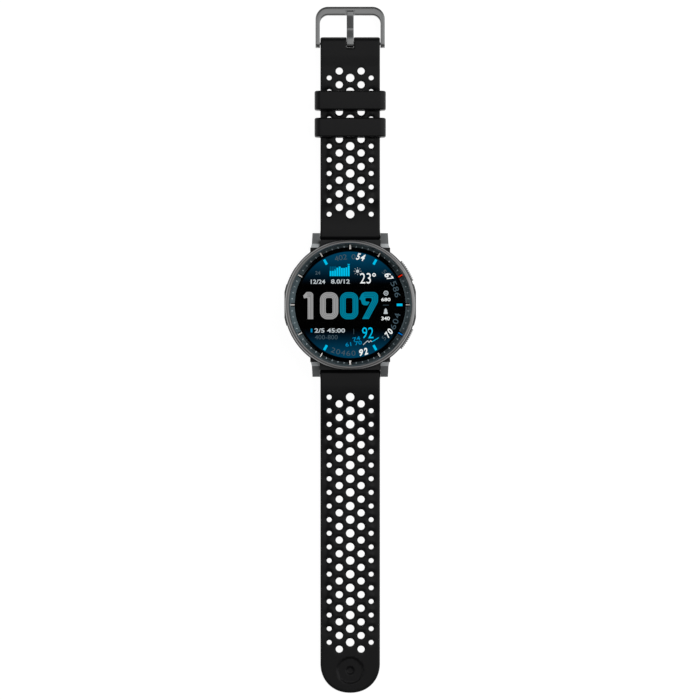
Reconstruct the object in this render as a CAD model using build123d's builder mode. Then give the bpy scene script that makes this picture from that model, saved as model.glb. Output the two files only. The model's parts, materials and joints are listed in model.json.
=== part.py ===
"""GPS running watch with a round case, two side buttons and a perforated rubber strap.

The watch lies on its back with both straps laid out. The origin is the centre of the flat
sensor window that it rests on, +Z is up through the glass, +Y runs along the short strap to
the buckle and -Y along the long strap. All sizes are in millimetres.
"""
from build123d import *
from math import cos, degrees, radians, sin, sqrt
import os

os.makedirs("parts", exist_ok=True)

# Clearances
running_fit = 0.05  # radial, a pin or stem that turns or slides in its bore
seat_gap = 0.05  # radial, a ring or disc dropped into its seat
side_gap = 0.15  # each side, strap between its lugs
loose_gap = 0.2  # all round, parts that slide past each other
chamber_gap = 0.3  # modules inside the chamber, from its wall
bay_gap = 0.4  # each side, release lever in its bay

# Stack of the case, from the table upward
window_drop = 0.8  # sensor window below the case back
back_thickness = 1.4
case_lip = 0.4  # case edge above the underside of the back
battery_clearance = 0.8
battery_thickness = 3.9
board_thickness = 0.8
shield_height = 0.8
shield_gap = 0.1
inner_frame_thickness = 1.0
display_thickness = 0.8
chapter_height = 0.9
glass_thickness = 1.0
bezel_proud = 0.3  # bezel edge above the glass

back_bottom = window_drop
back_top = back_bottom + back_thickness
case_bottom = back_bottom + case_lip
battery_bottom = back_top + battery_clearance
board_bottom = battery_bottom + battery_thickness
board_top = board_bottom + board_thickness
shield_top = board_top + shield_height
inner_frame_bottom = shield_top + shield_gap
case_top = inner_frame_bottom + inner_frame_thickness
display_top = case_top + display_thickness
glass_bottom = display_top + chapter_height
glass_top = glass_bottom + glass_thickness
bezel_top = glass_top + bezel_proud

# Case, bezel and glass, in plan
case_radius = 24.4
case_wall = 3.8
bezel_inset = 0.5  # bezel inside the case edge
bezel_width = 1.4  # from the glass to the outer edge
bezel_ledge = 1.3  # inward ledge that carries the chapter ring
bezel_edge_radius = 0.7
bezel_inner_slope = 0.3  # width of the slope down to the glass
glass_chamfer = 0.15
chapter_width = 2.1
chapter_rim = 0.4  # flat rim under the glass
chapter_inner_rise = 0.3
chapter_bow = 0.13  # dish below a straight cone
display_margin = 0.2  # display edge inside the bezel ledge
antenna_width = 1.7
antenna_height = 1.2
gasket_width = 0.6
gasket_depth = 0.3
gasket_inset = 0.4  # bezel gasket inside the bezel edge
case_foot_chamfer = 1.5
case_foot_height = 2.1
case_shoulder = 0.3
case_shoulder_height = 0.9
guard_proud = 0.25
guard_flat_inset = 0.2  # flats at 3 and 9 o'clock, inside the case radius
guard_half_height = 7.6  # along Y
guard_thickness = 5.0  # along Z
interior_radius = case_radius - case_wall
bezel_radius = case_radius - bezel_inset
bezel_opening = bezel_radius - bezel_width
bezel_gasket_radius = bezel_radius - gasket_inset
guard_radius = case_radius + guard_proud
guard_flat = case_radius - guard_flat_inset
chapter_outer_radius = bezel_opening - seat_gap
chapter_inner_radius = bezel_opening - chapter_width
ledge_radius = bezel_opening - bezel_ledge
display_radius = ledge_radius - display_margin

# Case back and sensor
back_inset = 2.6  # back inside the case edge
back_edge_chamfer = 0.4
back_gasket_inset = 0.2
window_radius = 12.5
window_flange = 0.85
window_flange_height = 0.7
window_edge_radius = 1.1
window_skin = 0.9
window_ledge = 0.6
window_shelf = 1.2  # seat of the sensor board inside its ledge
sensor_board_thickness = 0.6
sensor_cell_thickness = 0.5
sensor_led_size = 1.6
sensor_led_radius = 3.2
photodiode_size = 2.6
photodiode_inset = 5.1  # from the edge of the window
back_screw_inset = 2.8  # from the edge of the back
back_screw_angle = 60.0
screw_shank_radius = 0.6
screw_head_radius = 1.15
screw_head_height = 0.65
screw_socket_radius = 0.575
screw_socket_depth = 0.455
screw_length = 4.4
screw_boss_radius = 1.7
contact_size = (1.7, 1.1)
contact_pitch = 2.6
contact_count = 4
contact_inset = 3.05  # from the window flange
back_radius = case_radius - back_inset
back_gasket_radius = back_radius - back_gasket_inset
back_screw_radius = back_radius - back_screw_inset
contact_radius = window_radius + window_flange + contact_inset
photodiode_radius = window_radius - photodiode_inset

# Battery, motor, board and flexes
battery_side_gap = 1.9  # between the battery, the motor and the chamber wall
battery_end_gap = 7.1  # from the chamber wall, where the flexes pass
battery_corner = 2.5
battery_edge = 0.6
motor_diameter = 7.0
motor_thickness = 2.6
motor_angle = 199.0
shield_sizes = ((12.0, 9.0, -5.5, 4.0), (9.0, 12.0, 7.5, 1.0), (10.0, 6.0, -4.0, -6.0))
shield_corner = 0.8
flex_thickness = 0.2
flex_width = 7.0
flex_slot_gap = 0.4
flex_foot = 3.0
flex_inset = 2.6  # display flex, from the edge of the board
flex_lap = 4.0  # sensor flex over the edge of the window
flex_battery_gap = 0.8
frame_post_radius = 0.9
frame_post_inset = 1.2
battery_size = (
    2 * (interior_radius - motor_diameter - battery_side_gap),
    2 * (interior_radius - battery_end_gap),
)
motor_radius = interior_radius - chamber_gap - motor_diameter / 2
sensor_flex_place = battery_size[1] / 2 + flex_battery_gap

# Buttons and the speaker outlet; angles are counter-clockwise from +X
button_angles = {"upper": 31.0, "lower": -31.0}
button_drop = 1.1  # button axis below the main board
button_proud = 0.6
button_length = 8.4
button_height = 3.6
button_depth = 1.4
button_corner = 0.8
button_travel = 0.5
button_stop_gap = 0.1
rib_pitch = 0.8
rib_groove_width = 0.35
rib_groove_depth = 0.3
rib_end_land = 1.2  # plain length shared by the two ends of a ribbed cap
stem_radius = 0.8
seal_width = 0.6
seal_depth = 0.3
clip_thickness = 0.3
clip_radius = 1.5
clip_setback = 0.2
stem_overrun = 1.1  # stem past the inner wall
plunger_length = 0.4
switch_depth = 1.5
switch_width = 3.4
switch_height = 2.2
grille_angle = 156.0
grille_length = 9.0
grille_height = 2.6
grille_depth = 0.9
grille_proud = 0.1
grille_end_land = 1.0
grille_edge_land = 0.45  # plain edge above and below the slots
duct_size = (6.0, 1.2)
speaker_size = (5.0, 7.4, 2.7)
port_radius = 0.4
sensor_can_size = 2.6
sensor_can_inset = 0.1  # from the edge of the board

# Lugs and spring bars
strap_width = 22.0
lug_thickness = 3.55
lug_tip_taper = 0.8
lug_waist_taper = 0.6  # at the foot of the facet
lug_parallel = 0.4  # length of the root before the taper
lug_overhang = 1.5  # lug tip past the spring bar
lug_root_wall = 0.15  # case left between a lug and the seat of the antenna ring
lug_top_gap = 0.3  # top of a lug below the case edge
lug_cover = 0.9  # case material over the lug root
lug_root_floor = 2.0  # above the foot of the case
lug_shelf = 1.3  # length of the root under the cover
lug_facet = 1.5  # length of the steep facet past the cover
lug_facet_foot = 4.1  # levels from the spring bar
lug_tip_top = 2.2
lug_tip_brow = 1.7
lug_tip_chin = 1.3
lug_underside = 2.3
lug_brow_length = 0.5
lug_chin_length = 0.9
lug_underside_start = 4.0
bar_setout = 0.6  # spring bar past the case edge
bar_height = 4.2
bar_radius = 0.9
bar_tip_radius = 0.5
bar_tip_depth = 1.2
bar_hole_clearance = 0.3  # lug hole deeper than the tip
bar_end_gap = 0.7
release_stroke = 1.4
release_lever_offset = 3.4  # lever from the end of the tube
release_lever_radius = 0.4
release_lever_length = 2.2
pocket_wall_gap = 0.9  # case pocket behind the knuckle
pocket_top_gap = 1.6
lug_inner = strap_width / 2 + side_gap
lug_outer = lug_inner + lug_thickness
lug_root = sqrt((bezel_opening + lug_root_wall) ** 2 - lug_inner**2)
bar_reach = case_radius + bar_setout
lug_reach = bar_reach + lug_overhang

# Straps, with lengths from the spring bar
strap_thickness = 2.6
knuckle_radius = 1.75
knuckle_slope = 50.0  # degrees, where the knuckle meets the shoulder
knuckle_underside = 0.4  # flat of the underside past the bar
shoulder_rise = 2.15
shoulder_setback = 0.25
long_strap_length = 118.4
long_bend_length = 31.0
tip_taper_length = 25.4
tip_thickness = 1.7
tip_recess_inset = 8.3
tip_recess_radius = 4.85
tip_recess_depth = 0.4
tip_dimple_radius = 1.45
short_strap_length = 71.5  # to the buckle bar
short_bend_length = 23.0
short_end_thickness = 3.2
short_end_overhang = 2.47  # past the buckle bar
short_end_flat_length = 4.5  # before the buckle bar
short_end_taper = 4.0
hole_pitch = 5.04
center_hole_radius = 1.525
inner_hole_radius = 1.325
outer_hole_radius = 0.925
inner_column = 4.03
outer_column_inset = 3.25  # from the edge of the strap
long_first_hole = 8.97
long_plain_end = 5.0  # last row before the tip recess
short_first_hole = 8.5
short_plain_end = 4.0  # last row before the thicker end
knuckle_pocket = bar_reach - knuckle_radius - pocket_wall_gap
long_strap_end = bar_reach + long_strap_length
long_bend_end = bar_reach + long_bend_length
tip_taper_start = long_strap_end - tip_taper_length
tip_recess_place = long_strap_end - tip_recess_inset
buckle_bar_reach = bar_reach + short_strap_length
short_strap_end = buckle_bar_reach + short_end_overhang
short_bend_end = bar_reach + short_bend_length
short_end_flat = buckle_bar_reach - short_end_flat_length
short_taper_start = short_end_flat - short_end_taper
outer_column = strap_width / 2 - outer_column_inset
long_first_row = bar_reach + long_first_hole
long_last_row = tip_recess_place - tip_recess_radius - long_plain_end
long_rows = 1 + int((long_last_row - long_first_row) / hole_pitch)
short_first_row = bar_reach + short_first_hole
short_last_row = short_taper_start - short_plain_end
short_rows = 1 + int((short_last_row - short_first_row) / hole_pitch)

# Keepers and buckle
keeper_side = 1.95
keeper_length = 7.1
keeper_floor = 1.2
keeper_roof = 1.4
keeper_inner_gap = 0.3
keeper_corner = 2.4
keeper_inner_corner = 0.6
keeper_edge = 0.6
keeper_setback = 21.15  # upper keeper from the buckle bar
keeper_spacing = 9.95
buckle_bar_radius = 0.8
buckle_arm = 1.6
buckle_length = 13.7  # past the buckle bar
buckle_crossbar = 3.1
buckle_outer_corner = 4.6
buckle_inner_corner = 3.1
buckle_floor_gap = 0.1
buckle_ear_radius = 1.55
buckle_nose = 3.3  # height of the crossbar
buckle_top_land = 0.6  # crest of the crossbar, past its inner edge
buckle_brow_length = 0.9
buckle_brow_drop = 0.3
buckle_face_drop = 1.1
buckle_chin = 0.8
buckle_belly = 1.0  # flat underside inside the crossbar
buckle_tip_depth = 0.9
tongue_width = 2.6
tongue_slot_width = 3.5
tongue_setback = 1.55  # tongue tip inside the buckle's end
tongue_notch_width = 3.6
tongue_notch_depth = 0.9
tongue_thickness = 0.9
tongue_tip_thickness = 0.72
tongue_tip_slant = 0.3
tongue_arch = 0.7
tongue_knuckle_wall = 0.5
tongue_root_length = 2.025
tongue_under_root = (1.08, 0.27)
keeper_width = strap_width + 2 * (loose_gap + keeper_side)
keeper_places = {
    "upper": buckle_bar_reach - keeper_setback,
    "lower": buckle_bar_reach - keeper_setback - keeper_spacing,
}
buckle_width = strap_width + 2 * (loose_gap + buckle_arm)
buckle_end = buckle_bar_reach + buckle_length
tongue_reach = buckle_end - tongue_setback

# Levels and places worked out from the sizes above
button_face_radius = case_radius + button_proud
button_level = board_bottom - button_drop
button_inner_face = button_face_radius - button_depth
pocket_floor = button_inner_face - button_travel - button_stop_gap
stem_end = interior_radius - stem_overrun
clip_place = interior_radius - clip_setback - clip_thickness
seal_place = (interior_radius + pocket_floor) / 2
board_radius = clip_place - button_travel - loose_gap
flex_slot_place = flex_inset - board_radius
sensor_can_radius = board_radius - sensor_can_inset - sensor_can_size / 2
rib_step = degrees(rib_pitch / button_face_radius)
grille_face_radius = case_radius + grille_proud
speaker_reach = sqrt((interior_radius - chamber_gap) ** 2 - (speaker_size[1] / 2) ** 2)
speaker_radius = speaker_reach - speaker_size[0] / 2
strap_floor = keeper_floor + loose_gap
short_axis = strap_floor + strap_thickness / 2
keeper_height = keeper_floor + 2 * strap_thickness + 2 * loose_gap + keeper_inner_gap + keeper_roof
knuckle_outer = buckle_bar_radius + running_fit + tongue_knuckle_wall
tongue_slot_start = buckle_bar_reach - knuckle_outer - loose_gap - running_fit
tube_end = strap_width / 2 - bar_end_gap
lever_place = tube_end - release_lever_offset

toward_buckle = Plane.XY
toward_tip = Plane.XY.rotated((0, 0, 180))


def side_plane(base):
    """Plane in which x runs away from the watch along a strap, and y is up."""
    return Plane(origin=(0, 0, 0), x_dir=base.y_dir, z_dir=base.x_dir)


def radial_plane(angle, level):
    """Plane through the watch's axis whose normal points outward at an angle."""
    outward = (cos(radians(angle)), sin(radians(angle)), 0)
    return Plane(origin=(0, 0, level), x_dir=(-outward[1], outward[0], 0), z_dir=outward)


def ring_section(*points):
    """Section of a ring or disc, as (radius, height) points, to turn about the watch's axis."""
    with BuildSketch(Plane.XZ) as section:
        with BuildLine():
            Polyline(*points, close=True)
        make_face()
    return section.sketch


# Lugs: four metal inserts moulded into the case, with a blind hole for the bar tip
def make_lug(base, side):
    with BuildPart() as lug:
        with BuildSketch(base):
            with BuildLine():
                Polyline(
                    (side * lug_inner, lug_root),
                    (side * lug_outer, lug_root),
                    (side * lug_outer, lug_root + lug_parallel),
                    (side * (lug_outer - lug_waist_taper), lug_root + lug_shelf + lug_facet),
                    (side * (lug_outer - lug_tip_taper), lug_reach),
                    (side * lug_inner, lug_reach),
                    close=True,
                )
            make_face()
        extrude(amount=case_top)
        with BuildSketch(side_plane(base)):
            with BuildLine():
                Polyline(
                    (lug_root, case_bottom + lug_root_floor),
                    (lug_root, case_top - lug_top_gap - lug_cover),
                    (lug_root + lug_shelf, case_top - lug_top_gap - lug_cover),
                    (lug_root + lug_shelf, case_top - lug_top_gap),
                    (lug_root + lug_shelf + lug_facet, bar_height + lug_facet_foot),
                    (lug_reach - lug_brow_length, bar_height + lug_tip_top),
                    (lug_reach, bar_height + lug_tip_brow),
                    (lug_reach, bar_height - lug_tip_chin),
                    (lug_reach - lug_chin_length, bar_height - lug_underside),
                    (lug_root + lug_underside_start, bar_height - lug_underside),
                    close=True,
                )
            make_face()
        extrude(amount=strap_width, both=True, mode=Mode.INTERSECT)
        with BuildSketch(side_plane(base).offset(side * lug_inner)):
            with Locations((bar_reach, bar_height)):
                Circle(bar_tip_radius + running_fit)
        extrude(amount=side * (bar_tip_depth + bar_hole_clearance), mode=Mode.SUBTRACT)
    return lug


lugs = {
    "lug_upper_left": make_lug(toward_buckle, -1),
    "lug_upper_right": make_lug(toward_buckle, 1),
    "lug_lower_left": make_lug(toward_tip, 1),
    "lug_lower_right": make_lug(toward_tip, -1),
}

# Mid case: the moulded body that everything else is fastened to
with BuildPart() as mid_case:
    outer_section = ring_section(
        (0, case_bottom),
        (case_radius - case_foot_chamfer, case_bottom),
        (case_radius, case_bottom + case_foot_height),
        (case_radius, case_top - case_shoulder_height),
        (case_radius - case_shoulder, case_top),
        (0, case_top),
    )
    revolve(outer_section, axis=Axis.Z)
    with BuildSketch(Plane.XY.offset(button_level - guard_thickness / 2)):
        Circle(guard_radius)
        Rectangle(4 * guard_radius, 2 * guard_half_height, mode=Mode.INTERSECT)
    extrude(amount=guard_thickness)
    # Flats of the guards at 3 and 9 o'clock
    with BuildSketch(Plane.XY):
        Rectangle(2 * guard_flat, 4 * case_radius)
    extrude(amount=case_top, mode=Mode.INTERSECT)
    # Covers of the lug roots, and a hood over each strap end
    with BuildSketch(Plane.XY.offset(case_top - lug_top_gap - lug_cover)):
        Rectangle(2 * lug_outer, 2 * (lug_root + lug_shelf))
    extrude(amount=lug_cover)
    with BuildSketch(Plane.XY.offset(case_top - pocket_top_gap)):
        Rectangle(2 * lug_inner, 2 * bezel_radius)
    extrude(amount=pocket_top_gap - lug_top_gap)
    # Bays for the strap knuckles, with the hood left over them
    with BuildSketch(Plane.XY):
        with Locations((0, knuckle_pocket + lug_reach / 2), (0, -knuckle_pocket - lug_reach / 2)):
            Rectangle(2 * lug_inner, lug_reach)
    extrude(amount=case_top - pocket_top_gap, mode=Mode.SUBTRACT)
    with BuildSketch(Plane.XY):
        with Locations((0, bezel_radius + lug_reach / 2), (0, -bezel_radius - lug_reach / 2)):
            Rectangle(2 * lug_inner, lug_reach)
    extrude(amount=case_top, mode=Mode.SUBTRACT)
    for lug in lugs.values():
        add(lug, mode=Mode.SUBTRACT)
    # Chamber, seat of the back with its gasket groove, and seat of the antenna ring
    with BuildSketch(Plane.XY):
        Circle(interior_radius)
    extrude(amount=case_top, mode=Mode.SUBTRACT)
    with BuildSketch(Plane.XY.offset(case_top - antenna_height)):
        Circle(chapter_outer_radius)
    extrude(amount=antenna_height, mode=Mode.SUBTRACT)
    with BuildSketch(Plane.XY):
        Circle(back_radius + seat_gap)
    extrude(amount=back_top, mode=Mode.SUBTRACT)
    with BuildSketch(Plane.XY.offset(back_top)):
        Circle(back_gasket_radius)
        Circle(back_gasket_radius - gasket_width, mode=Mode.SUBTRACT)
    extrude(amount=gasket_depth, mode=Mode.SUBTRACT)
    with BuildSketch(Plane.XY.offset(case_top - gasket_depth)):
        Circle(bezel_gasket_radius)
        Circle(bezel_gasket_radius - gasket_width, mode=Mode.SUBTRACT)
    extrude(amount=gasket_depth, mode=Mode.SUBTRACT)
    # Bosses that take the back screws and carry the main board
    with BuildSketch(Plane.XY.offset(back_top)):
        for screw_angle in (back_screw_angle, 180 - back_screw_angle):
            with PolarLocations(back_screw_radius, 2, start_angle=screw_angle):
                Circle(screw_boss_radius)
    extrude(amount=board_bottom - back_top)
    with BuildSketch(Plane.XY.offset(back_top)):
        for screw_angle in (back_screw_angle, 180 - back_screw_angle):
            with PolarLocations(back_screw_radius, 2, start_angle=screw_angle):
                Circle(screw_shank_radius)
    extrude(amount=screw_length, mode=Mode.SUBTRACT)
    # Button bays and stem bores
    for angle in button_angles.values():
        with BuildSketch(radial_plane(angle, button_level).offset(pocket_floor)):
            Rectangle(button_length + 2 * loose_gap, button_height + 2 * loose_gap)
        extrude(amount=case_radius, mode=Mode.SUBTRACT)
        with BuildSketch(radial_plane(angle, button_level).offset(stem_end)):
            Circle(stem_radius + running_fit)
        extrude(amount=case_radius - stem_end, mode=Mode.SUBTRACT)
    # Speaker outlet, with its duct through the wall
    with BuildSketch(radial_plane(grille_angle, button_level).offset(grille_face_radius - grille_depth)):
        Rectangle(grille_length, grille_height)
    extrude(amount=case_radius, mode=Mode.SUBTRACT)
    with BuildSketch(radial_plane(grille_angle, button_level).offset(stem_end)):
        Rectangle(*duct_size)
    extrude(amount=case_radius - stem_end, mode=Mode.SUBTRACT)
    # Ports of the barometer at 3 o'clock and of the microphone at 9 o'clock
    for port_angle in (0, 180):
        with BuildSketch(radial_plane(port_angle, button_level).offset(stem_end)):
            Circle(port_radius)
        extrude(amount=case_radius, mode=Mode.SUBTRACT)

# Bezel ring
with BuildPart() as bezel_ring:
    bezel_section = ring_section(
        (ledge_radius, case_top),
        (bezel_radius, case_top),
        (bezel_radius, bezel_top),
        (bezel_opening + bezel_inner_slope, bezel_top),
        (bezel_opening, glass_top),
        (bezel_opening, display_top),
        (ledge_radius, display_top),
    )
    revolve(bezel_section, axis=Axis.Z)
    circles = bezel_ring.edges().filter_by(GeomType.CIRCLE)
    outer_rim = circles.group_by(SortBy.RADIUS)[-1].sort_by(Axis.Z)[-1]
    fillet(outer_rim, bezel_edge_radius)

with BuildPart() as bezel_gasket:
    with BuildSketch(Plane.XY.offset(case_top - gasket_depth)):
        Circle(bezel_gasket_radius - seat_gap)
        Circle(bezel_gasket_radius - gasket_width + seat_gap, mode=Mode.SUBTRACT)
    extrude(amount=gasket_depth)

# Chapter ring: a dished ring with a flat rim that carries the glass
with BuildPart() as chapter_ring:
    with BuildSketch(Plane.XZ):
        with BuildLine():
            dish = SagittaArc(
                (chapter_inner_radius, display_top + chapter_inner_rise),
                (chapter_outer_radius - chapter_rim, glass_bottom),
                -chapter_bow,
            )
            Polyline(
                dish @ 1,
                (chapter_outer_radius, glass_bottom),
                (chapter_outer_radius, display_top),
                (chapter_inner_radius, display_top),
                dish @ 0,
            )
        make_face()
    revolve(axis=Axis.Z)

with BuildPart() as cover_glass:
    with BuildSketch(Plane.XY.offset(glass_bottom)):
        Circle(chapter_outer_radius)
    extrude(amount=glass_thickness)
    chamfer(cover_glass.edges().group_by(Axis.Z)[-1], glass_chamfer)

with BuildPart() as display_panel:
    with BuildSketch(Plane.XY.offset(case_top)):
        Circle(display_radius)
    extrude(amount=display_thickness)

# Antenna ring: moulded ring under the bezel ledge and the edge of the display
with BuildPart() as antenna_ring:
    with BuildSketch(Plane.XY.offset(case_top - antenna_height)):
        Circle(chapter_outer_radius - seat_gap)
        Circle(chapter_outer_radius - antenna_width, mode=Mode.SUBTRACT)
    extrude(amount=antenna_height)

# Inner frame: backs the display and stands on the main board
with BuildPart() as inner_frame:
    with BuildSketch(Plane.XY.offset(inner_frame_bottom)):
        Circle(min(interior_radius, chapter_outer_radius - antenna_width) - seat_gap)
        with Locations((0, flex_slot_place)):
            Rectangle(
                flex_width + 2 * flex_slot_gap, flex_thickness + 2 * flex_slot_gap, mode=Mode.SUBTRACT
            )
    extrude(amount=inner_frame_thickness)
    with BuildSketch(Plane.XY.offset(board_top)):
        with PolarLocations(board_radius - frame_post_inset, 6):
            Circle(frame_post_radius)
    extrude(amount=inner_frame_bottom - board_top)

with BuildPart() as display_flex:
    with BuildSketch(Plane.XY.offset(board_top)):
        with Locations((0, flex_slot_place)):
            Rectangle(flex_width, flex_thickness)
    extrude(amount=case_top - board_top)
    with BuildSketch(Plane.XY.offset(board_top)):
        with Locations((0, flex_slot_place + flex_foot / 2)):
            Rectangle(flex_width, flex_foot)
    extrude(amount=flex_thickness)

# Main board with its shield cans
with BuildPart() as main_board:
    with BuildSketch(Plane.XY.offset(board_bottom)):
        Circle(board_radius)
    extrude(amount=board_thickness)

with BuildPart() as shield_cans:
    for width, length, across, along in shield_sizes:
        with BuildSketch(Plane.XY.offset(board_top)):
            with Locations((across, along)):
                RectangleRounded(width, length, shield_corner)
        extrude(amount=shield_height)

with BuildPart() as battery:
    with BuildSketch(Plane.XY.offset(battery_bottom)):
        RectangleRounded(*battery_size, battery_corner)
    extrude(amount=battery_thickness)
    fillet(battery.edges().group_by(Axis.Z)[0], battery_edge)

with BuildPart() as vibration_motor:
    with BuildSketch(Plane.XY.offset(board_bottom - motor_thickness)):
        with PolarLocations(motor_radius, 1, start_angle=motor_angle):
            Circle(motor_diameter / 2)
    extrude(amount=motor_thickness)

# Speaker module, behind its duct and the ribbed outlet in the case side
with BuildPart() as speaker:
    with BuildSketch(Plane.XY.offset(board_bottom - speaker_size[2])):
        with PolarLocations(speaker_radius, 1, start_angle=grille_angle):
            Rectangle(speaker_size[0], speaker_size[1])
    extrude(amount=speaker_size[2])

with BuildPart() as speaker_grille:
    with BuildSketch(radial_plane(grille_angle, button_level).offset(grille_face_radius - grille_depth)):
        Rectangle(grille_length - 2 * seat_gap, grille_height - 2 * seat_gap)
    extrude(amount=2 * grille_depth)
    with BuildSketch(Plane.XY):
        Circle(grille_face_radius)
    extrude(amount=case_top, mode=Mode.INTERSECT)
    grille_ribs = int((grille_length - grille_end_land) / rib_pitch)
    with BuildSketch(radial_plane(grille_angle, button_level).offset(grille_face_radius - 2 * grille_depth)):
        with GridLocations(rib_pitch, 0, grille_ribs, 1):
            Rectangle(rib_groove_width, grille_height - 2 * grille_edge_land)
    extrude(amount=3 * grille_depth, mode=Mode.SUBTRACT)


def make_port_can(angle):
    """Small sensor can on the underside of the main board, behind its port."""
    with BuildPart() as can:
        with BuildSketch(Plane.XY.offset(board_bottom - button_drop - sensor_can_size / 2)):
            with PolarLocations(sensor_can_radius, 1, start_angle=angle):
                Rectangle(sensor_can_size, sensor_can_size)
        extrude(amount=button_drop + sensor_can_size / 2)
    return can


barometer = make_port_can(0)
microphone = make_port_can(180)

# Optical sensor: window, board, light sources and receivers
with BuildPart() as sensor_window:
    window_section = ring_section(
        (0, 0),
        (window_radius, 0),
        (window_radius, back_top - window_flange_height),
        (window_radius + window_flange, back_top - window_flange_height),
        (window_radius + window_flange, back_top),
        (window_radius - window_ledge, back_top),
        (window_radius - window_ledge, back_top - sensor_board_thickness),
        (window_radius - window_ledge - window_shelf, back_top - sensor_board_thickness),
        (window_radius - window_ledge - window_shelf, window_skin),
        (0, window_skin),
    )
    revolve(window_section, axis=Axis.Z)
    fillet(sensor_window.edges().group_by(Axis.Z)[0], window_edge_radius)

sensor_cell_level = back_top - sensor_board_thickness - sensor_cell_thickness
with BuildPart() as optical_sensor_board:
    with BuildSketch(Plane.XY.offset(back_top - sensor_board_thickness)):
        Circle(window_radius - window_ledge - seat_gap)
    extrude(amount=sensor_board_thickness)

with BuildPart() as sensor_leds:
    with BuildSketch(Plane.XY.offset(sensor_cell_level)):
        with PolarLocations(sensor_led_radius, 4):
            Rectangle(sensor_led_size, sensor_led_size)
    extrude(amount=sensor_cell_thickness)

with BuildPart() as photodiodes:
    with BuildSketch(Plane.XY.offset(sensor_cell_level)):
        with PolarLocations(photodiode_radius, 4, start_angle=45):
            Rectangle(photodiode_size, photodiode_size)
    extrude(amount=sensor_cell_thickness)

sensor_flex_start = min(sensor_flex_place, window_radius) - flex_lap
with BuildPart() as sensor_flex:
    with BuildSketch(Plane.XY.offset(back_top)):
        with Locations((0, (sensor_flex_place + sensor_flex_start) / 2)):
            Rectangle(flex_width, sensor_flex_place - sensor_flex_start)
    extrude(amount=flex_thickness)
    with BuildSketch(Plane.XY.offset(back_top)):
        with Locations((0, sensor_flex_place - flex_thickness / 2)):
            Rectangle(flex_width, flex_thickness)
    extrude(amount=board_bottom - back_top)


def contact_places():
    first = -contact_pitch * (contact_count - 1) / 2
    return [(first + contact_pitch * index, -contact_radius) for index in range(contact_count)]


# Case back with its gasket, screws and charging contacts
with BuildPart() as case_back:
    with BuildSketch(Plane.XY.offset(back_bottom)):
        Circle(back_radius)
        Circle(window_radius + seat_gap, mode=Mode.SUBTRACT)
        with Locations(*contact_places()):
            Rectangle(*contact_size, mode=Mode.SUBTRACT)
    extrude(amount=back_thickness)
    under_circles = case_back.edges().group_by(Axis.Z)[0].filter_by(GeomType.CIRCLE)
    chamfer(under_circles.sort_by(SortBy.RADIUS)[-1], back_edge_chamfer)
    with BuildSketch(Plane.XY.offset(back_top - window_flange_height)):
        Circle(window_radius + window_flange + seat_gap)
    extrude(amount=window_flange_height, mode=Mode.SUBTRACT)
    for screw_angle in (back_screw_angle, 180 - back_screw_angle):
        with Locations(Plane.XY.offset(back_bottom).rotated((180, 0, 0))):
            with PolarLocations(back_screw_radius, 2, start_angle=screw_angle):
                CounterBoreHole(
                    screw_shank_radius + running_fit, screw_head_radius + seat_gap, screw_head_height
                )

with BuildPart() as case_back_gasket:
    with BuildSketch(Plane.XY.offset(back_top)):
        Circle(back_gasket_radius - seat_gap)
        Circle(back_gasket_radius - gasket_width + seat_gap, mode=Mode.SUBTRACT)
    extrude(amount=gasket_depth)

with BuildPart() as case_back_screws:
    for screw_angle in (back_screw_angle, 180 - back_screw_angle):
        with BuildSketch(Plane.XY.offset(back_bottom)):
            with PolarLocations(back_screw_radius, 2, start_angle=screw_angle):
                Circle(screw_head_radius)
        extrude(amount=screw_head_height)
        with BuildSketch(Plane.XY.offset(back_bottom)):
            with PolarLocations(back_screw_radius, 2, start_angle=screw_angle):
                Circle(screw_shank_radius)
        extrude(amount=screw_length)
        with BuildSketch(Plane.XY.offset(back_bottom)):
            with PolarLocations(back_screw_radius, 2, start_angle=screw_angle):
                RegularPolygon(screw_socket_radius, 6)
        extrude(amount=screw_socket_depth, mode=Mode.SUBTRACT)

with BuildPart() as charging_contacts:
    with BuildSketch(Plane.XY.offset(back_bottom)):
        with Locations(*contact_places()):
            Rectangle(*contact_size)
    extrude(amount=back_thickness)


# Buttons: a ribbed cap on a stem, with its seal and retaining clip, and the switch behind it
def make_button(angle):
    face = radial_plane(angle, button_level)
    with BuildPart() as button:
        with BuildSketch(face.offset(button_inner_face)):
            RectangleRounded(button_length, button_height, button_corner)
        extrude(amount=2 * button_depth)
        with BuildSketch(Plane.XY):
            Circle(button_face_radius)
        extrude(amount=case_top, mode=Mode.INTERSECT)
        ribs = int((button_length - rib_end_land) / rib_pitch)
        with BuildSketch(Plane.XY.offset(button_level - button_height / 2)):
            with PolarLocations(
                button_face_radius,
                ribs + 1,
                start_angle=angle - ribs * rib_step / 2,
                angular_range=ribs * rib_step,
                endpoint=True,
            ):
                Rectangle(2 * rib_groove_depth, rib_groove_width)
        extrude(amount=button_height, mode=Mode.SUBTRACT)
        with BuildSketch(face.offset(stem_end)):
            Circle(stem_radius)
        extrude(amount=button_inner_face - stem_end)
        with BuildSketch(face.offset(seal_place)):
            Circle(2 * stem_radius)
            Circle(stem_radius - seal_depth, mode=Mode.SUBTRACT)
        extrude(amount=seal_width, mode=Mode.SUBTRACT)
        with BuildSketch(face.offset(clip_place)):
            Circle(2 * stem_radius)
            Circle(stem_radius - seal_depth, mode=Mode.SUBTRACT)
        extrude(amount=clip_thickness, mode=Mode.SUBTRACT)
    return button


def make_button_seal(angle):
    with BuildPart() as seal:
        with BuildSketch(radial_plane(angle, button_level).offset(seal_place)):
            Circle(stem_radius + running_fit / 2)
            Circle(stem_radius - seal_depth, mode=Mode.SUBTRACT)
        extrude(amount=seal_width)
    return seal


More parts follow.
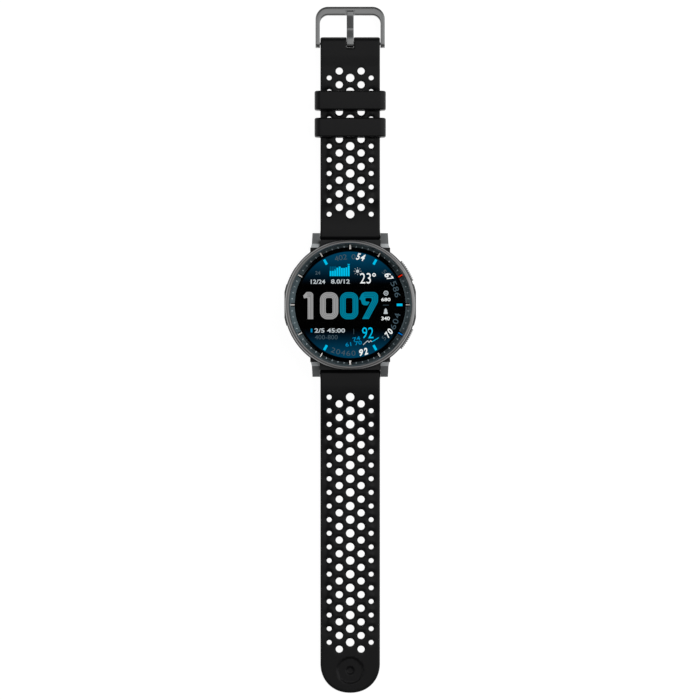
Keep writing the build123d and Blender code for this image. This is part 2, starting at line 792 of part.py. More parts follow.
def make_button_clip(angle):
    with BuildPart() as clip:
        with BuildSketch(radial_plane(angle, button_level).offset(clip_place)):
            Circle(clip_radius)
            Circle(stem_radius - seal_depth, mode=Mode.SUBTRACT)
            with Locations((0, -clip_radius)):
                Rectangle(stem_radius, 2 * clip_radius, mode=Mode.SUBTRACT)
        extrude(amount=clip_thickness)
    return clip


def make_switch(angle):
    """Tact switch that hangs from the main board, with its plunger just short of the stem."""
    face = radial_plane(angle, button_level)
    plunger_face = stem_end - button_travel - button_stop_gap
    with BuildPart() as switch:
        with BuildSketch(face.offset(plunger_face - plunger_length - switch_depth)):
            with Locations((0, button_drop / 2 - switch_height / 4)):
                Rectangle(switch_width, button_drop + switch_height / 2)
        extrude(amount=switch_depth)
        with BuildSketch(face.offset(plunger_face - plunger_length)):
            Circle(stem_radius)
        extrude(amount=plunger_length)
    return switch


pieces = {
    "mid_case": mid_case,
    "bezel_ring": bezel_ring,
    "bezel_gasket": bezel_gasket,
    "chapter_ring": chapter_ring,
    "cover_glass": cover_glass,
    "display_panel": display_panel,
    "antenna_ring": antenna_ring,
    "inner_frame": inner_frame,
    "display_flex": display_flex,
    "main_board": main_board,
    "shield_cans": shield_cans,
    "battery": battery,
    "vibration_motor": vibration_motor,
    "speaker": speaker,
    "speaker_grille": speaker_grille,
    "barometer": barometer,
    "microphone": microphone,
    "sensor_window": sensor_window,
    "optical_sensor_board": optical_sensor_board,
    "sensor_leds": sensor_leds,
    "photodiodes": photodiodes,
    "sensor_flex": sensor_flex,
    "case_back": case_back,
    "case_back_gasket": case_back_gasket,
    "case_back_screws": case_back_screws,
    "charging_contacts": charging_contacts,
}
pieces.update(lugs)
for side, angle in button_angles.items():
    pieces[f"button_{side}"] = make_button(angle)
    pieces[f"button_seal_{side}"] = make_button_seal(angle)
    pieces[f"button_clip_{side}"] = make_button_clip(angle)
    pieces[f"button_switch_{side}"] = make_switch(angle)


# Straps: a side outline across the width, cut to plan and perforated
def hole_field(base, first_row, rows):
    """Round holes in five columns; the inner columns stand half a pitch further out."""
    middle = first_row + hole_pitch * (rows - 1) / 2
    with BuildSketch(base) as holes:
        with Locations((0, middle)):
            with GridLocations(0, hole_pitch, 1, rows):
                Circle(center_hole_radius)
            with GridLocations(2 * outer_column, hole_pitch, 2, rows):
                Circle(outer_hole_radius)
        with Locations((0, middle + hole_pitch / 2)):
            with GridLocations(2 * inner_column, hole_pitch, 2, rows):
                Circle(inner_hole_radius)
    return holes.sketch


def lug_end(bend_end, floor):
    """Outline of the lug end: knuckle round the bar, shoulder, and bend down to the floor."""
    slope = radians(knuckle_slope)
    under = (bar_reach + knuckle_underside, bar_height - knuckle_radius)
    over = (bar_reach - knuckle_radius * cos(slope), bar_height + knuckle_radius * sin(slope))
    shoulder = (bar_reach - shoulder_setback, bar_height + shoulder_rise)
    crown = (bar_reach + knuckle_radius, bar_height + shoulder_rise)
    Spline((bend_end, floor), under, tangents=((-1, 0), (-1, 0)))
    Line(under, (bar_reach, bar_height - knuckle_radius))
    ThreePointArc(
        (bar_reach, bar_height - knuckle_radius), (bar_reach - knuckle_radius, bar_height), over
    )
    Polyline(over, shoulder, crown)
    Spline(crown, (bend_end, floor + strap_thickness), tangents=((1, 0), (1, 0)))


def disc(base, place, radius):
    with BuildSketch(base) as circle:
        with Locations(place):
            Circle(radius)
    return circle.sketch


def lever_bay(base):
    """Opening under the knuckle, in which the release lever slides."""
    with BuildSketch(base) as bay:
        with Locations((lever_place - release_stroke / 2, bar_reach)):
            Rectangle(
                release_stroke + 2 * release_lever_radius + 2 * bay_gap,
                2 * release_lever_radius + 2 * bay_gap,
            )
    return bay.sketch


with BuildPart() as strap_long:
    with BuildSketch(side_plane(toward_tip)):
        with BuildLine():
            lug_end(long_bend_end, 0)
            Polyline(
                (long_bend_end, strap_thickness),
                (tip_taper_start, strap_thickness),
                (long_strap_end, tip_thickness),
                (long_strap_end, 0),
                (long_bend_end, 0),
            )
        make_face()
    extrude(amount=strap_width / 2, both=True)
    with BuildSketch(toward_tip):
        with Locations((0, (long_strap_end - strap_width / 2) / 2)):
            Rectangle(strap_width, long_strap_end - strap_width / 2)
        with Locations((0, long_strap_end - strap_width / 2)):
            Circle(strap_width / 2)
    extrude(amount=case_top, mode=Mode.INTERSECT)
    extrude(hole_field(toward_tip, long_first_row, long_rows), amount=case_top, mode=Mode.SUBTRACT)
    tip_recess = disc(toward_tip.offset(tip_thickness), (0, tip_recess_place), tip_recess_radius)
    extrude(tip_recess, amount=strap_thickness, mode=Mode.SUBTRACT)
    dimple_level = toward_tip.offset(tip_thickness - tip_recess_depth)
    extrude(
        disc(dimple_level, (0, tip_recess_place), tip_dimple_radius),
        amount=strap_thickness,
        mode=Mode.SUBTRACT,
    )
    bar_bore = disc(side_plane(toward_tip), (bar_reach, bar_height), bar_radius + running_fit)
    extrude(bar_bore, amount=strap_width, both=True, mode=Mode.SUBTRACT)
    extrude(lever_bay(toward_tip), amount=bar_height, mode=Mode.SUBTRACT)

with BuildPart() as strap_short:
    end_radius = short_end_thickness / 2
    with BuildSketch(side_plane(toward_buckle)):
        with BuildLine():
            lug_end(short_bend_end, strap_floor)
            Polyline(
                (short_bend_end, strap_floor + strap_thickness),
                (short_taper_start, strap_floor + strap_thickness),
                (short_end_flat, short_axis + end_radius),
                (short_strap_end - end_radius, short_axis + end_radius),
            )
            ThreePointArc(
                (short_strap_end - end_radius, short_axis + end_radius),
                (short_strap_end, short_axis),
                (short_strap_end - end_radius, short_axis - end_radius),
            )
            Polyline(
                (short_strap_end - end_radius, short_axis - end_radius),
                (short_end_flat, short_axis - end_radius),
                (short_taper_start, strap_floor),
                (short_bend_end, strap_floor),
            )
        make_face()
    extrude(amount=strap_width / 2, both=True)
    extrude(hole_field(toward_buckle, short_first_row, short_rows), amount=case_top, mode=Mode.SUBTRACT)
    along = side_plane(toward_buckle)
    buckle_bore = disc(along, (buckle_bar_reach, short_axis), buckle_bar_radius + running_fit)
    extrude(buckle_bore, amount=strap_width, both=True, mode=Mode.SUBTRACT)
    with BuildSketch(toward_buckle):
        with Locations((0, tongue_slot_start + short_strap_end / 2)):
            Rectangle(tongue_slot_width, short_strap_end)
    extrude(amount=case_top, mode=Mode.SUBTRACT)
    bar_bore = disc(along, (bar_reach, bar_height), bar_radius + running_fit)
    extrude(bar_bore, amount=strap_width, both=True, mode=Mode.SUBTRACT)
    extrude(lever_bay(toward_buckle), amount=bar_height, mode=Mode.SUBTRACT)
pieces["strap_long"] = strap_long
pieces["strap_short"] = strap_short


# Spring bars: a tube with one fixed tip, and a sliding tip with the release lever
def make_spring_bar(base):
    across = side_plane(base)
    with BuildPart() as bar:
        with BuildSketch(across.offset(-tube_end)):
            with Locations((bar_reach, bar_height)):
                Circle(bar_radius)
        extrude(amount=2 * tube_end)
        with BuildSketch(across.offset(-lug_inner - bar_tip_depth)):
            with Locations((bar_reach, bar_height)):
                Circle(bar_tip_radius)
        extrude(amount=lug_inner + bar_tip_depth - tube_end)
        with BuildSketch(across.offset(tube_end)):
            with Locations((bar_reach, bar_height)):
                Circle(bar_tip_radius + running_fit)
        extrude(amount=-tube_end, mode=Mode.SUBTRACT)
        with BuildSketch(base.offset(bar_height)):
            with Locations((lever_place - release_stroke / 2, bar_reach)):
                Rectangle(
                    release_stroke + 2 * release_lever_radius + 2 * running_fit,
                    2 * release_lever_radius + 2 * running_fit,
                )
        extrude(amount=-2 * bar_radius, mode=Mode.SUBTRACT)
    return bar


def make_release_pin(base):
    across = side_plane(base)
    pin_start = lever_place - 2 * release_lever_radius
    with BuildPart() as pin:
        with BuildSketch(across.offset(pin_start)):
            with Locations((bar_reach, bar_height)):
                Circle(bar_tip_radius)
        extrude(amount=lug_inner + bar_tip_depth - pin_start)
        with BuildSketch(base.offset(bar_height)):
            with Locations((lever_place, bar_reach)):
                Circle(release_lever_radius)
        extrude(amount=-release_lever_length)
    return pin


for strap_name, base in {"long": toward_tip, "short": toward_buckle}.items():
    pieces[f"spring_bar_{strap_name}"] = make_spring_bar(base)
    pieces[f"release_pin_{strap_name}"] = make_release_pin(base)


# Keepers: two loops that slide on the short strap
def make_keeper(place):
    inner_width = strap_width + 2 * loose_gap
    inner_height = keeper_height - keeper_floor - keeper_roof
    with BuildPart() as keeper:
        with BuildSketch(Plane.XZ.offset(-place + keeper_length / 2)):
            with Locations((0, keeper_height / 2)):
                RectangleRounded(keeper_width, keeper_height, keeper_corner)
            with Locations((0, keeper_floor + inner_height / 2)):
                RectangleRounded(inner_width, inner_height, keeper_inner_corner, mode=Mode.SUBTRACT)
        extrude(amount=-keeper_length)
        ends = keeper.faces().filter_by(Axis.Y)
        outlines = [face.outer_wire().edges() for face in ends]
        fillet([edge for outline in outlines for edge in outline], keeper_edge)
    return keeper


for keeper_name, place in keeper_places.items():
    pieces[f"keeper_{keeper_name}"] = make_keeper(place)

# Buckle: a U-shaped frame, a tongue and the bar that both turn on
frame_start = buckle_bar_reach - buckle_ear_radius
nose_top = buckle_floor_gap + buckle_nose
with BuildPart() as buckle_frame:
    with BuildSketch(Plane.XY) as frame_outline:
        with Locations((0, (frame_start + buckle_end) / 2)):
            Rectangle(buckle_width, buckle_end - frame_start)
        fillet(frame_outline.vertices().group_by(Axis.Y)[-1], buckle_outer_corner)
        with BuildSketch(mode=Mode.SUBTRACT) as frame_window:
            with Locations((0, buckle_end / 2 - buckle_crossbar / 2)):
                Rectangle(buckle_width - 2 * buckle_arm, buckle_end - buckle_crossbar)
            fillet(frame_window.vertices().group_by(Axis.Y)[-1], buckle_inner_corner)
    extrude(amount=case_top)
    with BuildSketch(side_plane(toward_buckle)):
        with Locations((buckle_bar_reach, short_axis)):
            Circle(buckle_ear_radius)
        with BuildLine():
            Polyline(
                (buckle_bar_reach, short_axis + buckle_ear_radius),
                (buckle_end - buckle_crossbar + buckle_top_land, nose_top),
                (buckle_end - buckle_brow_length, nose_top - buckle_brow_drop),
                (buckle_end, nose_top - buckle_face_drop),
                (buckle_end, buckle_floor_gap + buckle_chin),
                (buckle_end - buckle_chin, buckle_floor_gap),
                (buckle_end - buckle_crossbar - buckle_belly, buckle_floor_gap),
                (buckle_bar_reach, short_axis - buckle_ear_radius),
                close=True,
            )
        make_face()
    extrude(amount=buckle_width, both=True, mode=Mode.INTERSECT)
    with BuildSketch(Plane.XY.offset(nose_top - tongue_notch_depth)):
        with Locations((0, tongue_reach / 2 + loose_gap / 2)):
            Rectangle(tongue_notch_width, tongue_reach + loose_gap)
    extrude(amount=case_top, mode=Mode.SUBTRACT)
    tip_bore = disc(side_plane(toward_buckle), (buckle_bar_reach, short_axis), bar_tip_radius)
    extrude(
        tip_bore,
        amount=strap_width / 2 + loose_gap + buckle_tip_depth + seat_gap,
        both=True,
        mode=Mode.SUBTRACT,
    )

with BuildPart() as buckle_bar:
    with BuildSketch(side_plane(toward_buckle)):
        with Locations((buckle_bar_reach, short_axis)):
            Circle(buckle_bar_radius)
    extrude(amount=strap_width / 2, both=True)
    with BuildSketch(side_plane(toward_buckle)):
        with Locations((buckle_bar_reach, short_axis)):
            Circle(bar_tip_radius)
    extrude(amount=strap_width / 2 + loose_gap + buckle_tip_depth, both=True)

tongue_tip_level = nose_top - tongue_notch_depth + seat_gap
with BuildPart() as buckle_tongue:
    with BuildSketch(side_plane(toward_buckle)) as tongue_side:
        with BuildLine():
            start = (buckle_bar_reach, short_axis + knuckle_outer)
            root = (buckle_bar_reach + tongue_root_length, short_axis + knuckle_outer)
            under_root = (buckle_bar_reach + tongue_under_root[0], short_axis + tongue_under_root[1])
            tip_top = (tongue_reach, tongue_tip_level + tongue_tip_thickness)
            tip_bottom = (tongue_reach - tongue_tip_slant, tongue_tip_level)
            middle = (buckle_bar_reach + tongue_reach) / 2
            crown = short_axis + knuckle_outer + tongue_arch
            Line(start, root)
            ThreePointArc(root, (middle, crown), tip_top)
            Line(tip_top, tip_bottom)
            ThreePointArc(tip_bottom, (middle, crown - tongue_thickness), under_root)
            Line(under_root, start)
        make_face()
        with Locations((buckle_bar_reach, short_axis)):
            Circle(knuckle_outer)
            Circle(buckle_bar_radius + running_fit, mode=Mode.SUBTRACT)
    extrude(amount=tongue_width / 2, both=True)

pieces["buckle_frame"] = buckle_frame
pieces["buckle_bar"] = buckle_bar
pieces["buckle_tongue"] = buckle_tongue

for name, piece in pieces.items():
    piece.part.label = name
    export_step(piece.part, f"parts/{name}.step")
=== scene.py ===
"""Looks of a GPS running watch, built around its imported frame.

The mesh code works in millimetres, in the frame's own axes: +Z up through the glass and +Y
along the short strap to the buckle. Pieces are handed to Blender in metres.
"""

import json
import math

import bmesh
import bpy
import numpy as np
from bpy.props import FloatProperty, FloatVectorProperty, IntProperty, PointerProperty
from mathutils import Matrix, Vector
from mathutils.bvhtree import BVHTree
from mathutils.geometry import delaunay_2d_cdt


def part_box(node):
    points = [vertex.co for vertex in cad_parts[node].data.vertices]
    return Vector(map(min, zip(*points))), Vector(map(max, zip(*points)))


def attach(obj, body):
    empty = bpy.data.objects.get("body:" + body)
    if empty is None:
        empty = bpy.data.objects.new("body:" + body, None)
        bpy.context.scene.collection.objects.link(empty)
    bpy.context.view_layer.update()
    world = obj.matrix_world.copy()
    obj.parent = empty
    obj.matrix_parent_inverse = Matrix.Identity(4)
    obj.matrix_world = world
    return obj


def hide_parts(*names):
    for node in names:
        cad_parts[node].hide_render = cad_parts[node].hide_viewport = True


bl_info = {
    "name": "Running Watch Looks",
    "version": (1, 0, 0),
    "blender": (4, 5, 0),
    "location": "View3D > Sidebar > Watch",
    "description": "Strap, case, dial and buckle of a running watch, with their finishes",
    "category": "Object",
}

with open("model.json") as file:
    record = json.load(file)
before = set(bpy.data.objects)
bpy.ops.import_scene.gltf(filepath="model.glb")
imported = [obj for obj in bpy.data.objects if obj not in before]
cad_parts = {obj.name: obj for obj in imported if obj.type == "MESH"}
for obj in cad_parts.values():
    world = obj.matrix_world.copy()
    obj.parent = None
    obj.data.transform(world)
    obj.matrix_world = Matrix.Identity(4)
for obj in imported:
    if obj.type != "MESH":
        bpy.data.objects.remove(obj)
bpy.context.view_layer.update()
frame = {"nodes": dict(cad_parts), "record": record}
MM = 0.001


def node_box(node):
    """Lowest and highest corner of a CAD node, in millimetres."""
    low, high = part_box(node)
    return low / MM, high / MM


# Sizes read from the frame, in millimetres
CASE_TOP, DISPLAY_TOP = (corner.z for corner in node_box("display_panel"))
GLASS_BOTTOM, GLASS_TOP = (corner.z for corner in node_box("cover_glass"))
BEZEL_RADIUS, BEZEL_TOP = node_box("bezel_ring")[1].xz
CHAPTER_OUTER = node_box("chapter_ring")[1].x
CHAPTER_INNER = CHAPTER_OUTER - 2.05
CHAPTER_RIM = CHAPTER_OUTER - 0.4  # where the dish meets the glass

MINUTE_SPAN = (21.15, 21.75)

WHITE = (1, 1, 1, 1)
BLACK = (0, 0, 0, 1)
LIT_GRAIN = 0.4  # size of the faint grain of lit parts, in millimetres
TURN_STEPS = 240  # sides of a turned ring


def linear(red, green, blue):
    """Linear colour of display values from 0 to 255."""
    parts = []
    for value in (red, green, blue):
        share = value / 255
        parts.append(share / 12.92 if share <= 0.04045 else ((share + 0.055) / 1.055) ** 2.4)
    return (*parts, 1.0)


def scaled(colour, share):
    """A darker or brighter colour."""
    return tuple(part * share for part in colour[:3]) + (1.0,)


# ---- settings


class WatchStageSettings(bpy.types.PropertyGroup):
    lens: FloatProperty(
        name="Lens", description="Focal length of the camera", default=200.0, unit="CAMERA"
    )
    camera_height: FloatProperty(
        name="Camera Height", description="Camera above the table", default=1.4394, unit="LENGTH"
    )
    aim: FloatVectorProperty(
        name="Aim",
        description="Point on the table that the camera looks at",
        size=2,
        default=(-0.00007, -0.0166),
        subtype="TRANSLATION",
    )
    floor_size: FloatProperty(
        name="Floor", description="Width of the floor", default=12.0, unit="LENGTH"
    )
    shadow_share: FloatProperty(
        name="Shadow", description="Share of the floor that takes shadows", default=0.09, subtype="FACTOR"
    )
    key_power: FloatProperty(
        name="Key Lamp", description="Power of the lamp on the right", default=26.0, unit="POWER"
    )
    fill_power: FloatProperty(
        name="Fill Lamp", description="Power of the lamp on the left", default=6.0, unit="POWER"
    )
    top_power: FloatProperty(
        name="Back Lamp", description="Power of the lamp past the buckle", default=4.0, unit="POWER"
    )
    zenith_level: FloatProperty(
        name="Sky Level", description="World brightness straight above", default=0.65
    )
    side_level: FloatProperty(
        name="Side Level", description="World brightness to the left and right", default=1.25
    )
    end_level: FloatProperty(
        name="End Level", description="World brightness along the straps", default=0.15
    )


class WatchStrapSettings(bpy.types.PropertyGroup):
    colour: FloatVectorProperty(
        name="Rubber", description="Colour of the straps",
        size=4, default=linear(12, 12, 13), subtype="COLOR",
    )
    edge_radius: FloatProperty(
        name="Edge", description="Rounding of the upper edges", default=0.0006, unit="LENGTH"
    )
    rim_radius: FloatProperty(
        name="Rim", description="Rounding of the hole rims", default=0.00014, unit="LENGTH"
    )
    hollow_depth: FloatProperty(
        name="Hollow", description="Depth of the hollows round the holes", default=0.0004, unit="LENGTH"
    )
    hole_steps: IntProperty(
        name="Hole Steps", description="Sides of the largest holes", default=36
    )


class WatchMetalSettings(bpy.types.PropertyGroup):
    bezel: FloatVectorProperty(
        name="Bezel", description="Colour of the bezel ring",
        size=4, default=linear(154, 154, 154), subtype="COLOR",
    )
    lugs: FloatVectorProperty(
        name="Lugs", description="Colour of the lugs",
        size=4, default=linear(101, 103, 104), subtype="COLOR",
    )
    buckle: FloatVectorProperty(
        name="Buckle", description="Colour of the buckle",
        size=4, default=linear(157, 158, 158), subtype="COLOR",
    )
    roughness: FloatProperty(
        name="Satin", description="Roughness of the satin metal", default=0.3, subtype="FACTOR"
    )
    edge: FloatProperty(
        name="Edge", description="Width of the softened metal edges", default=0.00028, unit="LENGTH"
    )


class WatchDialSettings(bpy.types.PropertyGroup):
    hours: FloatVectorProperty(
        name="Hours", description="Colour of the hour digits",
        size=4, default=linear(160, 160, 160), subtype="COLOR",
    )
    minutes: FloatVectorProperty(
        name="Minutes", description="Colour of the minute digits",
        size=4, default=linear(0, 128, 156), subtype="COLOR",
    )
    accent: FloatVectorProperty(
        name="Accent", description="Colour of the bars and markers",
        size=4, default=linear(0, 190, 234), subtype="COLOR",
    )
    glow: FloatVectorProperty(
        name="Glow", description="Colour of the display's upper and lower edge",
        size=4, default=linear(0, 62, 91), subtype="COLOR",
    )
    stroke: FloatProperty(
        name="Stroke", description="Width of the time digits' strokes", default=0.00208, unit="LENGTH"
    )


# ---- shader helpers


class Socket:
    """A shader socket whose sums with numbers and other sockets add Math nodes."""

    def __init__(self, finish, output):
        self.finish = finish
        self.output = output

    def __add__(self, other):
        return self.finish.math("ADD", self, other)

    def __sub__(self, other):
        return self.finish.math("SUBTRACT", self, other)

    def __rsub__(self, other):
        return self.finish.math("SUBTRACT", other, self)

    def __mul__(self, other):
        return self.finish.math("MULTIPLY", self, other)

    def __truediv__(self, other):
        return self.finish.math("DIVIDE", self, other)

    def __abs__(self):
        return self.finish.math("ABSOLUTE", self)

    def most(self, other):
        return self.finish.math("MAXIMUM", self, other)

    def ease(self, low, high):
        """0 below low, 1 above high, and a smooth step between."""
        values = {"Value": self, "From Min": low, "From Max": high}
        return self.finish.node("MapRange", values, interpolation_type="SMOOTHSTEP")


class Finish:
    """A procedural material or world, and the nodes that are added to it."""

    def __init__(self, owner):
        owner.use_nodes = True
        self.owner = owner
        self.nodes = owner.node_tree.nodes

    def node(self, kind, values=None, output=0, **settings):
        """Adds a node: its settings first, then the values or links of its sockets."""
        added = self.nodes.new("ShaderNode" + kind)
        for key, value in settings.items():
            setattr(added, key, value)
        self.feed(added, values or {})
        return Socket(self, added.outputs[output])

    def feed(self, node, values):
        for key, value in values.items():
            if isinstance(value, Socket):
                self.owner.node_tree.links.new(value.output, node.inputs[key])
            else:
                node.inputs[key].default_value = value

    def math(self, operation, *values):
        return self.node("Math", dict(enumerate(values)), operation=operation)

    def mix(self, share, first, second):
        """Colour between two colours."""
        return self.node("Mix", {0: share, 6: first, 7: second}, 2, data_type="RGBA")

    def blend(self, share, first, second):
        """Surface between two surfaces."""
        return self.node("MixShader", {0: share, 1: first, 2: second})

    def clear(self, colour=WHITE):
        return self.node("BsdfTransparent", {"Color": colour})

    def place(self, scale=(1, 1, 1)):
        """The point on the piece, in metres in the frame's axes, stretched along them."""
        place = self.node("TexCoord", output=3)
        return self.node("VectorMath", {0: place, 1: scale}, operation="MULTIPLY")

    def axes(self, vector=None):
        """The three parts of a vector, or of the point on the piece."""
        split = self.node("SeparateXYZ", {0: vector or self.place()})
        return [Socket(self, output) for output in split.output.node.outputs]

    def radius(self):
        """Distance from the watch's axis."""
        return self.node("VectorMath", {0: self.place((1, 1, 0))}, 1, operation="LENGTH")

    def noise(self, size, detail=2.0, stretch=(1, 1, 1)):
        """Noise with features of a size in millimetres."""
        values = {"Vector": self.place(stretch), "Scale": 1 / (size * MM)}
        return self.node("TexNoise", values | {"Detail": detail, "Roughness": 0.55})

    def bump(self, height, depth, strength):
        """Normals of a height from 0 to 1 that stands for a depth in millimetres."""
        return self.node("Bump", {"Height": height, "Distance": depth * MM, "Strength": strength})

    def ray(self, kind):
        """Whether the surface is met by a camera, glossy or transmission ray."""
        return self.node("LightPath", output=f"Is {kind} Ray")

    def dress(self, values):
        """Feeds the plain surface, and gives the material back."""
        self.feed(self.nodes["Principled BSDF"], values)
        return self.owner

    def plain(self):
        return Socket(self, self.nodes["Principled BSDF"].outputs[0])

    def show(self, surface):
        """Puts a surface in place of the plain one, and gives the material back."""
        self.feed(self.nodes["Material Output"], {"Surface": surface})
        return self.owner

    def shine(self, light, base, roughness):
        """A surface that is lit from within and has no gloss."""
        values = {"Emission Color": light, "Emission Strength": 1.0, "Base Color": base}
        return self.dress(values | {"Roughness": roughness, "Specular IOR Level": 0.0})


def new_finish(name):
    return Finish(bpy.data.materials.new(name))


def rubber(name, colour):
    """Moulded rubber: a fine pebble grain, with faint cloudy wear in its gloss."""
    finish = new_finish(name)
    cloud = finish.noise(7.0)
    pebble = finish.noise(0.16, 3.0)
    return finish.dress({
        "Base Color": finish.mix(cloud * 0.7 + pebble * 0.3, scaled(colour, 0.72), colour),
        "Roughness": cloud * 0.12 + 0.24,
        "Normal": finish.bump(pebble, 0.005, 0.4),
        "Specular IOR Level": 0.22,
    })


def satin_metal(name, colour, roughness, brushed=(1, 1, 1)):
    """Satin metal: fine brushing, with slow changes of tone and gloss."""
    finish = new_finish(name)
    cloud = finish.noise(5.0)
    brush = finish.noise(0.09, 4.0, brushed)
    return finish.dress({
        "Base Color": finish.mix(cloud * 0.5 + brush * 0.5, scaled(colour, 0.86), colour),
        "Roughness": brush * 0.1 + cloud * 0.06 + (roughness - 0.08),
        "Normal": finish.bump(brush, 0.004, 0.35),
        "Metallic": 1.0,
    })


def moulded(name, colour, roughness=0.5, gloss=0.3):
    """Moulded plastic: a fine spark-eroded texture."""
    finish = new_finish(name)
    cloud = finish.noise(6.0)
    grit = finish.noise(0.12)
    return finish.dress({
        "Base Color": finish.mix(cloud * 0.5 + grit * 0.5, scaled(colour, 0.75), colour),
        "Roughness": grit * 0.1 + cloud * 0.1 + (roughness - 0.1),
        "Normal": finish.bump(grit, 0.008, 0.5),
        "Specular IOR Level": gloss,
    })


def lit(name, colour):
    """A lit mark: its colour with a faint grain."""
    finish = new_finish(name)
    light = finish.mix(finish.noise(LIT_GRAIN, 0.0), scaled(colour, 0.94), colour)
    return finish.shine(light, BLACK, 0.6)


# ---- outline helpers


def rounded(points, radius, steps=4, closed=True):
    """The points as a path whose corners are arcs; radius is one size or one for each corner."""
    count = len(points)
    radii = radius if isinstance(radius, (list, tuple)) else [radius] * count
    path = []
    for index, point in enumerate(points):
        if not closed and index in (0, count - 1):
            path.append(tuple(point))
            continue
        corner = Vector(point)
        back = Vector(points[index - 1]) - corner
        ahead = Vector(points[(index + 1) % count]) - corner
        half = back.angle(ahead) / 2
        if radii[index] <= 0 or half > math.radians(89):
            path.append(tuple(point))
            continue
        reach = min(radii[index] / math.tan(half), 0.49 * back.length, 0.49 * ahead.length)
        start = corner + back.normalized() * reach
        middle = corner + (back.normalized() + ahead.normalized()).normalized() * (reach / math.cos(half))
        first = start - middle
        turn = math.pi - 2 * half
        sign = 1 if back.cross(ahead) < 0 else -1
        for step in range(steps + 1):
            angle = sign * turn * step / steps
            across = Vector((-first.y, first.x))
            place = middle + first * math.cos(angle) + across * math.sin(angle)
            path.append((place.x, place.y))
    return path


def normals_of(path, closed=True):
    """Unit normals of a flat path, to its left, with the stretch that keeps offsets parallel."""
    points = np.array(path, float)
    ahead = np.roll(points, -1, 0) - points
    back = points - np.roll(points, 1, 0)
    if not closed:
        ahead[-1] = back[-1]
        back[0] = ahead[0]
    ahead /= np.linalg.norm(ahead, axis=1)[:, None]
    back /= np.linalg.norm(back, axis=1)[:, None]
    normal = np.stack([-(ahead + back)[:, 1], (ahead + back)[:, 0]], 1)
    normal /= np.linalg.norm(normal, axis=1)[:, None]
    flat = np.stack([-ahead[:, 1], ahead[:, 0]], 1)
    return normal / np.clip((normal * flat).sum(1), 0.4, 1)[:, None]


def offset_path(path, distance, closed=True):
    """The path moved to its left by a distance."""
    return [tuple(p) for p in np.array(path, float) + normals_of(path, closed) * distance]


def evenly(path, spacing):
    """The closed path with points added so that none is further from the next than the spacing."""
    dense = []
    for start, end in zip(np.array(path, float), np.roll(np.array(path, float), -1, 0)):
        pieces = max(1, math.ceil(np.linalg.norm(end - start) / spacing))
        dense += [tuple(start + (end - start) * step / pieces) for step in range(pieces)]
    return dense


def rectangle(left, low, right, high):
    """Corners of a rectangle, counter-clockwise."""
    return [(left, low), (right, low), (right, high), (left, high)]


def mirrored(path):
    """The path and its mirror image across the watch's length, in one run."""
    return path + [(-x, y) for x, y in reversed(path)]


def quarter_turn(radius, steps):
    """Distances of a rounded corner's points from the side that it leaves and the one that it meets."""
    turns = [math.pi / 2 * step / steps for step in range(steps + 1)]
    return [(radius * (1 - math.cos(turn)), radius * (1 - math.sin(turn))) for turn in turns]


def circle(center, radius, steps):
    """Points of a circle, counter-clockwise."""
    turns = [2 * math.pi * index / steps for index in range(steps)]
    return [(center[0] + radius * math.cos(a), center[1] + radius * math.sin(a)) for a in turns]


# ---- mesh helpers


class Shape:
    """Points and faces of one piece, in millimetres."""

    def __init__(self):
        self.points = []
        self.faces = []

    def add(self, points, faces):
        first = len(self.points)
        self.points += [tuple(point) for point in points]
        self.faces += [tuple(first + index for index in face) for face in faces]

    def prism(self, outline, low, high):
        """A closed flat outline between two heights."""
        count = len(outline)
        points = [(x, y, low) for x, y in outline] + [(x, y, high) for x, y in outline]
        faces = [tuple(range(count)), tuple(range(2 * count - 1, count - 1, -1))]
        for index in range(count):
            ahead = (index + 1) % count
            faces.append((index, ahead, count + ahead, count + index))
        self.add(points, faces)

    def loft(self, rings, closed=False, capped=False):
        """Rings of equally many points joined in order: a tube, open or capped, or if closed a torus."""
        count = len(rings[0])
        first = len(self.points)
        points = [point for ring in rings for point in ring]
        faces = []
        for row in range(len(rings) if closed else len(rings) - 1):
            near, far = row * count, (row + 1) % len(rings) * count
            for index in range(count):
                ahead = (index + 1) % count
                faces.append((near + index, near + ahead, far + ahead, far + index))
        self.add(points, faces)
        if capped:
            end = first + len(points)
            self.faces += [tuple(range(first, first + count)), tuple(range(end - 1, end - count - 1, -1))]

    def turned(self, section):
        """A closed section of (radius, height) points turned about the watch's axis."""
        turns = circle((0, 0), 1, TURN_STEPS)
        self.loft([[(r * across, r * up, z) for r, z in section] for across, up in turns], closed=True)

    def ribbon(self, path, width, low, high, closed=False):
        """A flat stroke of a width along a path, between two heights."""
        sides = zip(offset_path(path, width / 2, closed), offset_path(path, -width / 2, closed))
        rings = [[(*left, low), (*left, high), (*right, high), (*right, low)] for left, right in sides]
        self.loft(rings, closed, not closed)

    def mesh(self, name):
        made = bpy.data.meshes.new(name)
        made.from_pydata([Vector(point) * MM for point in self.points], [], self.faces)
        return made

    def build(self, name, material, body, slot, replaces=(), crease=35.0, bevel=0.0):
        """The piece as a mesh object that rides on a body, with its edges broken by a bevel if one is given.
        """
        mesh = self.mesh(name)
        tidy = bmesh.new()
        tidy.from_mesh(mesh)
        bmesh.ops.remove_doubles(tidy, verts=tidy.verts, dist=0.002 * MM)
        bmesh.ops.recalc_face_normals(tidy, faces=tidy.faces)
        if bevel:
            round_edges(tidy, bevel, 2, 20.0)
        tidy.to_mesh(mesh)
        tidy.free()
        return place_mesh(mesh, name, material, body, replaces, crease)


def linked(name, data):
    """An object of the scene that shows the data."""
    made = bpy.data.objects.new(name, data)
    bpy.context.scene.collection.objects.link(made)
    return made


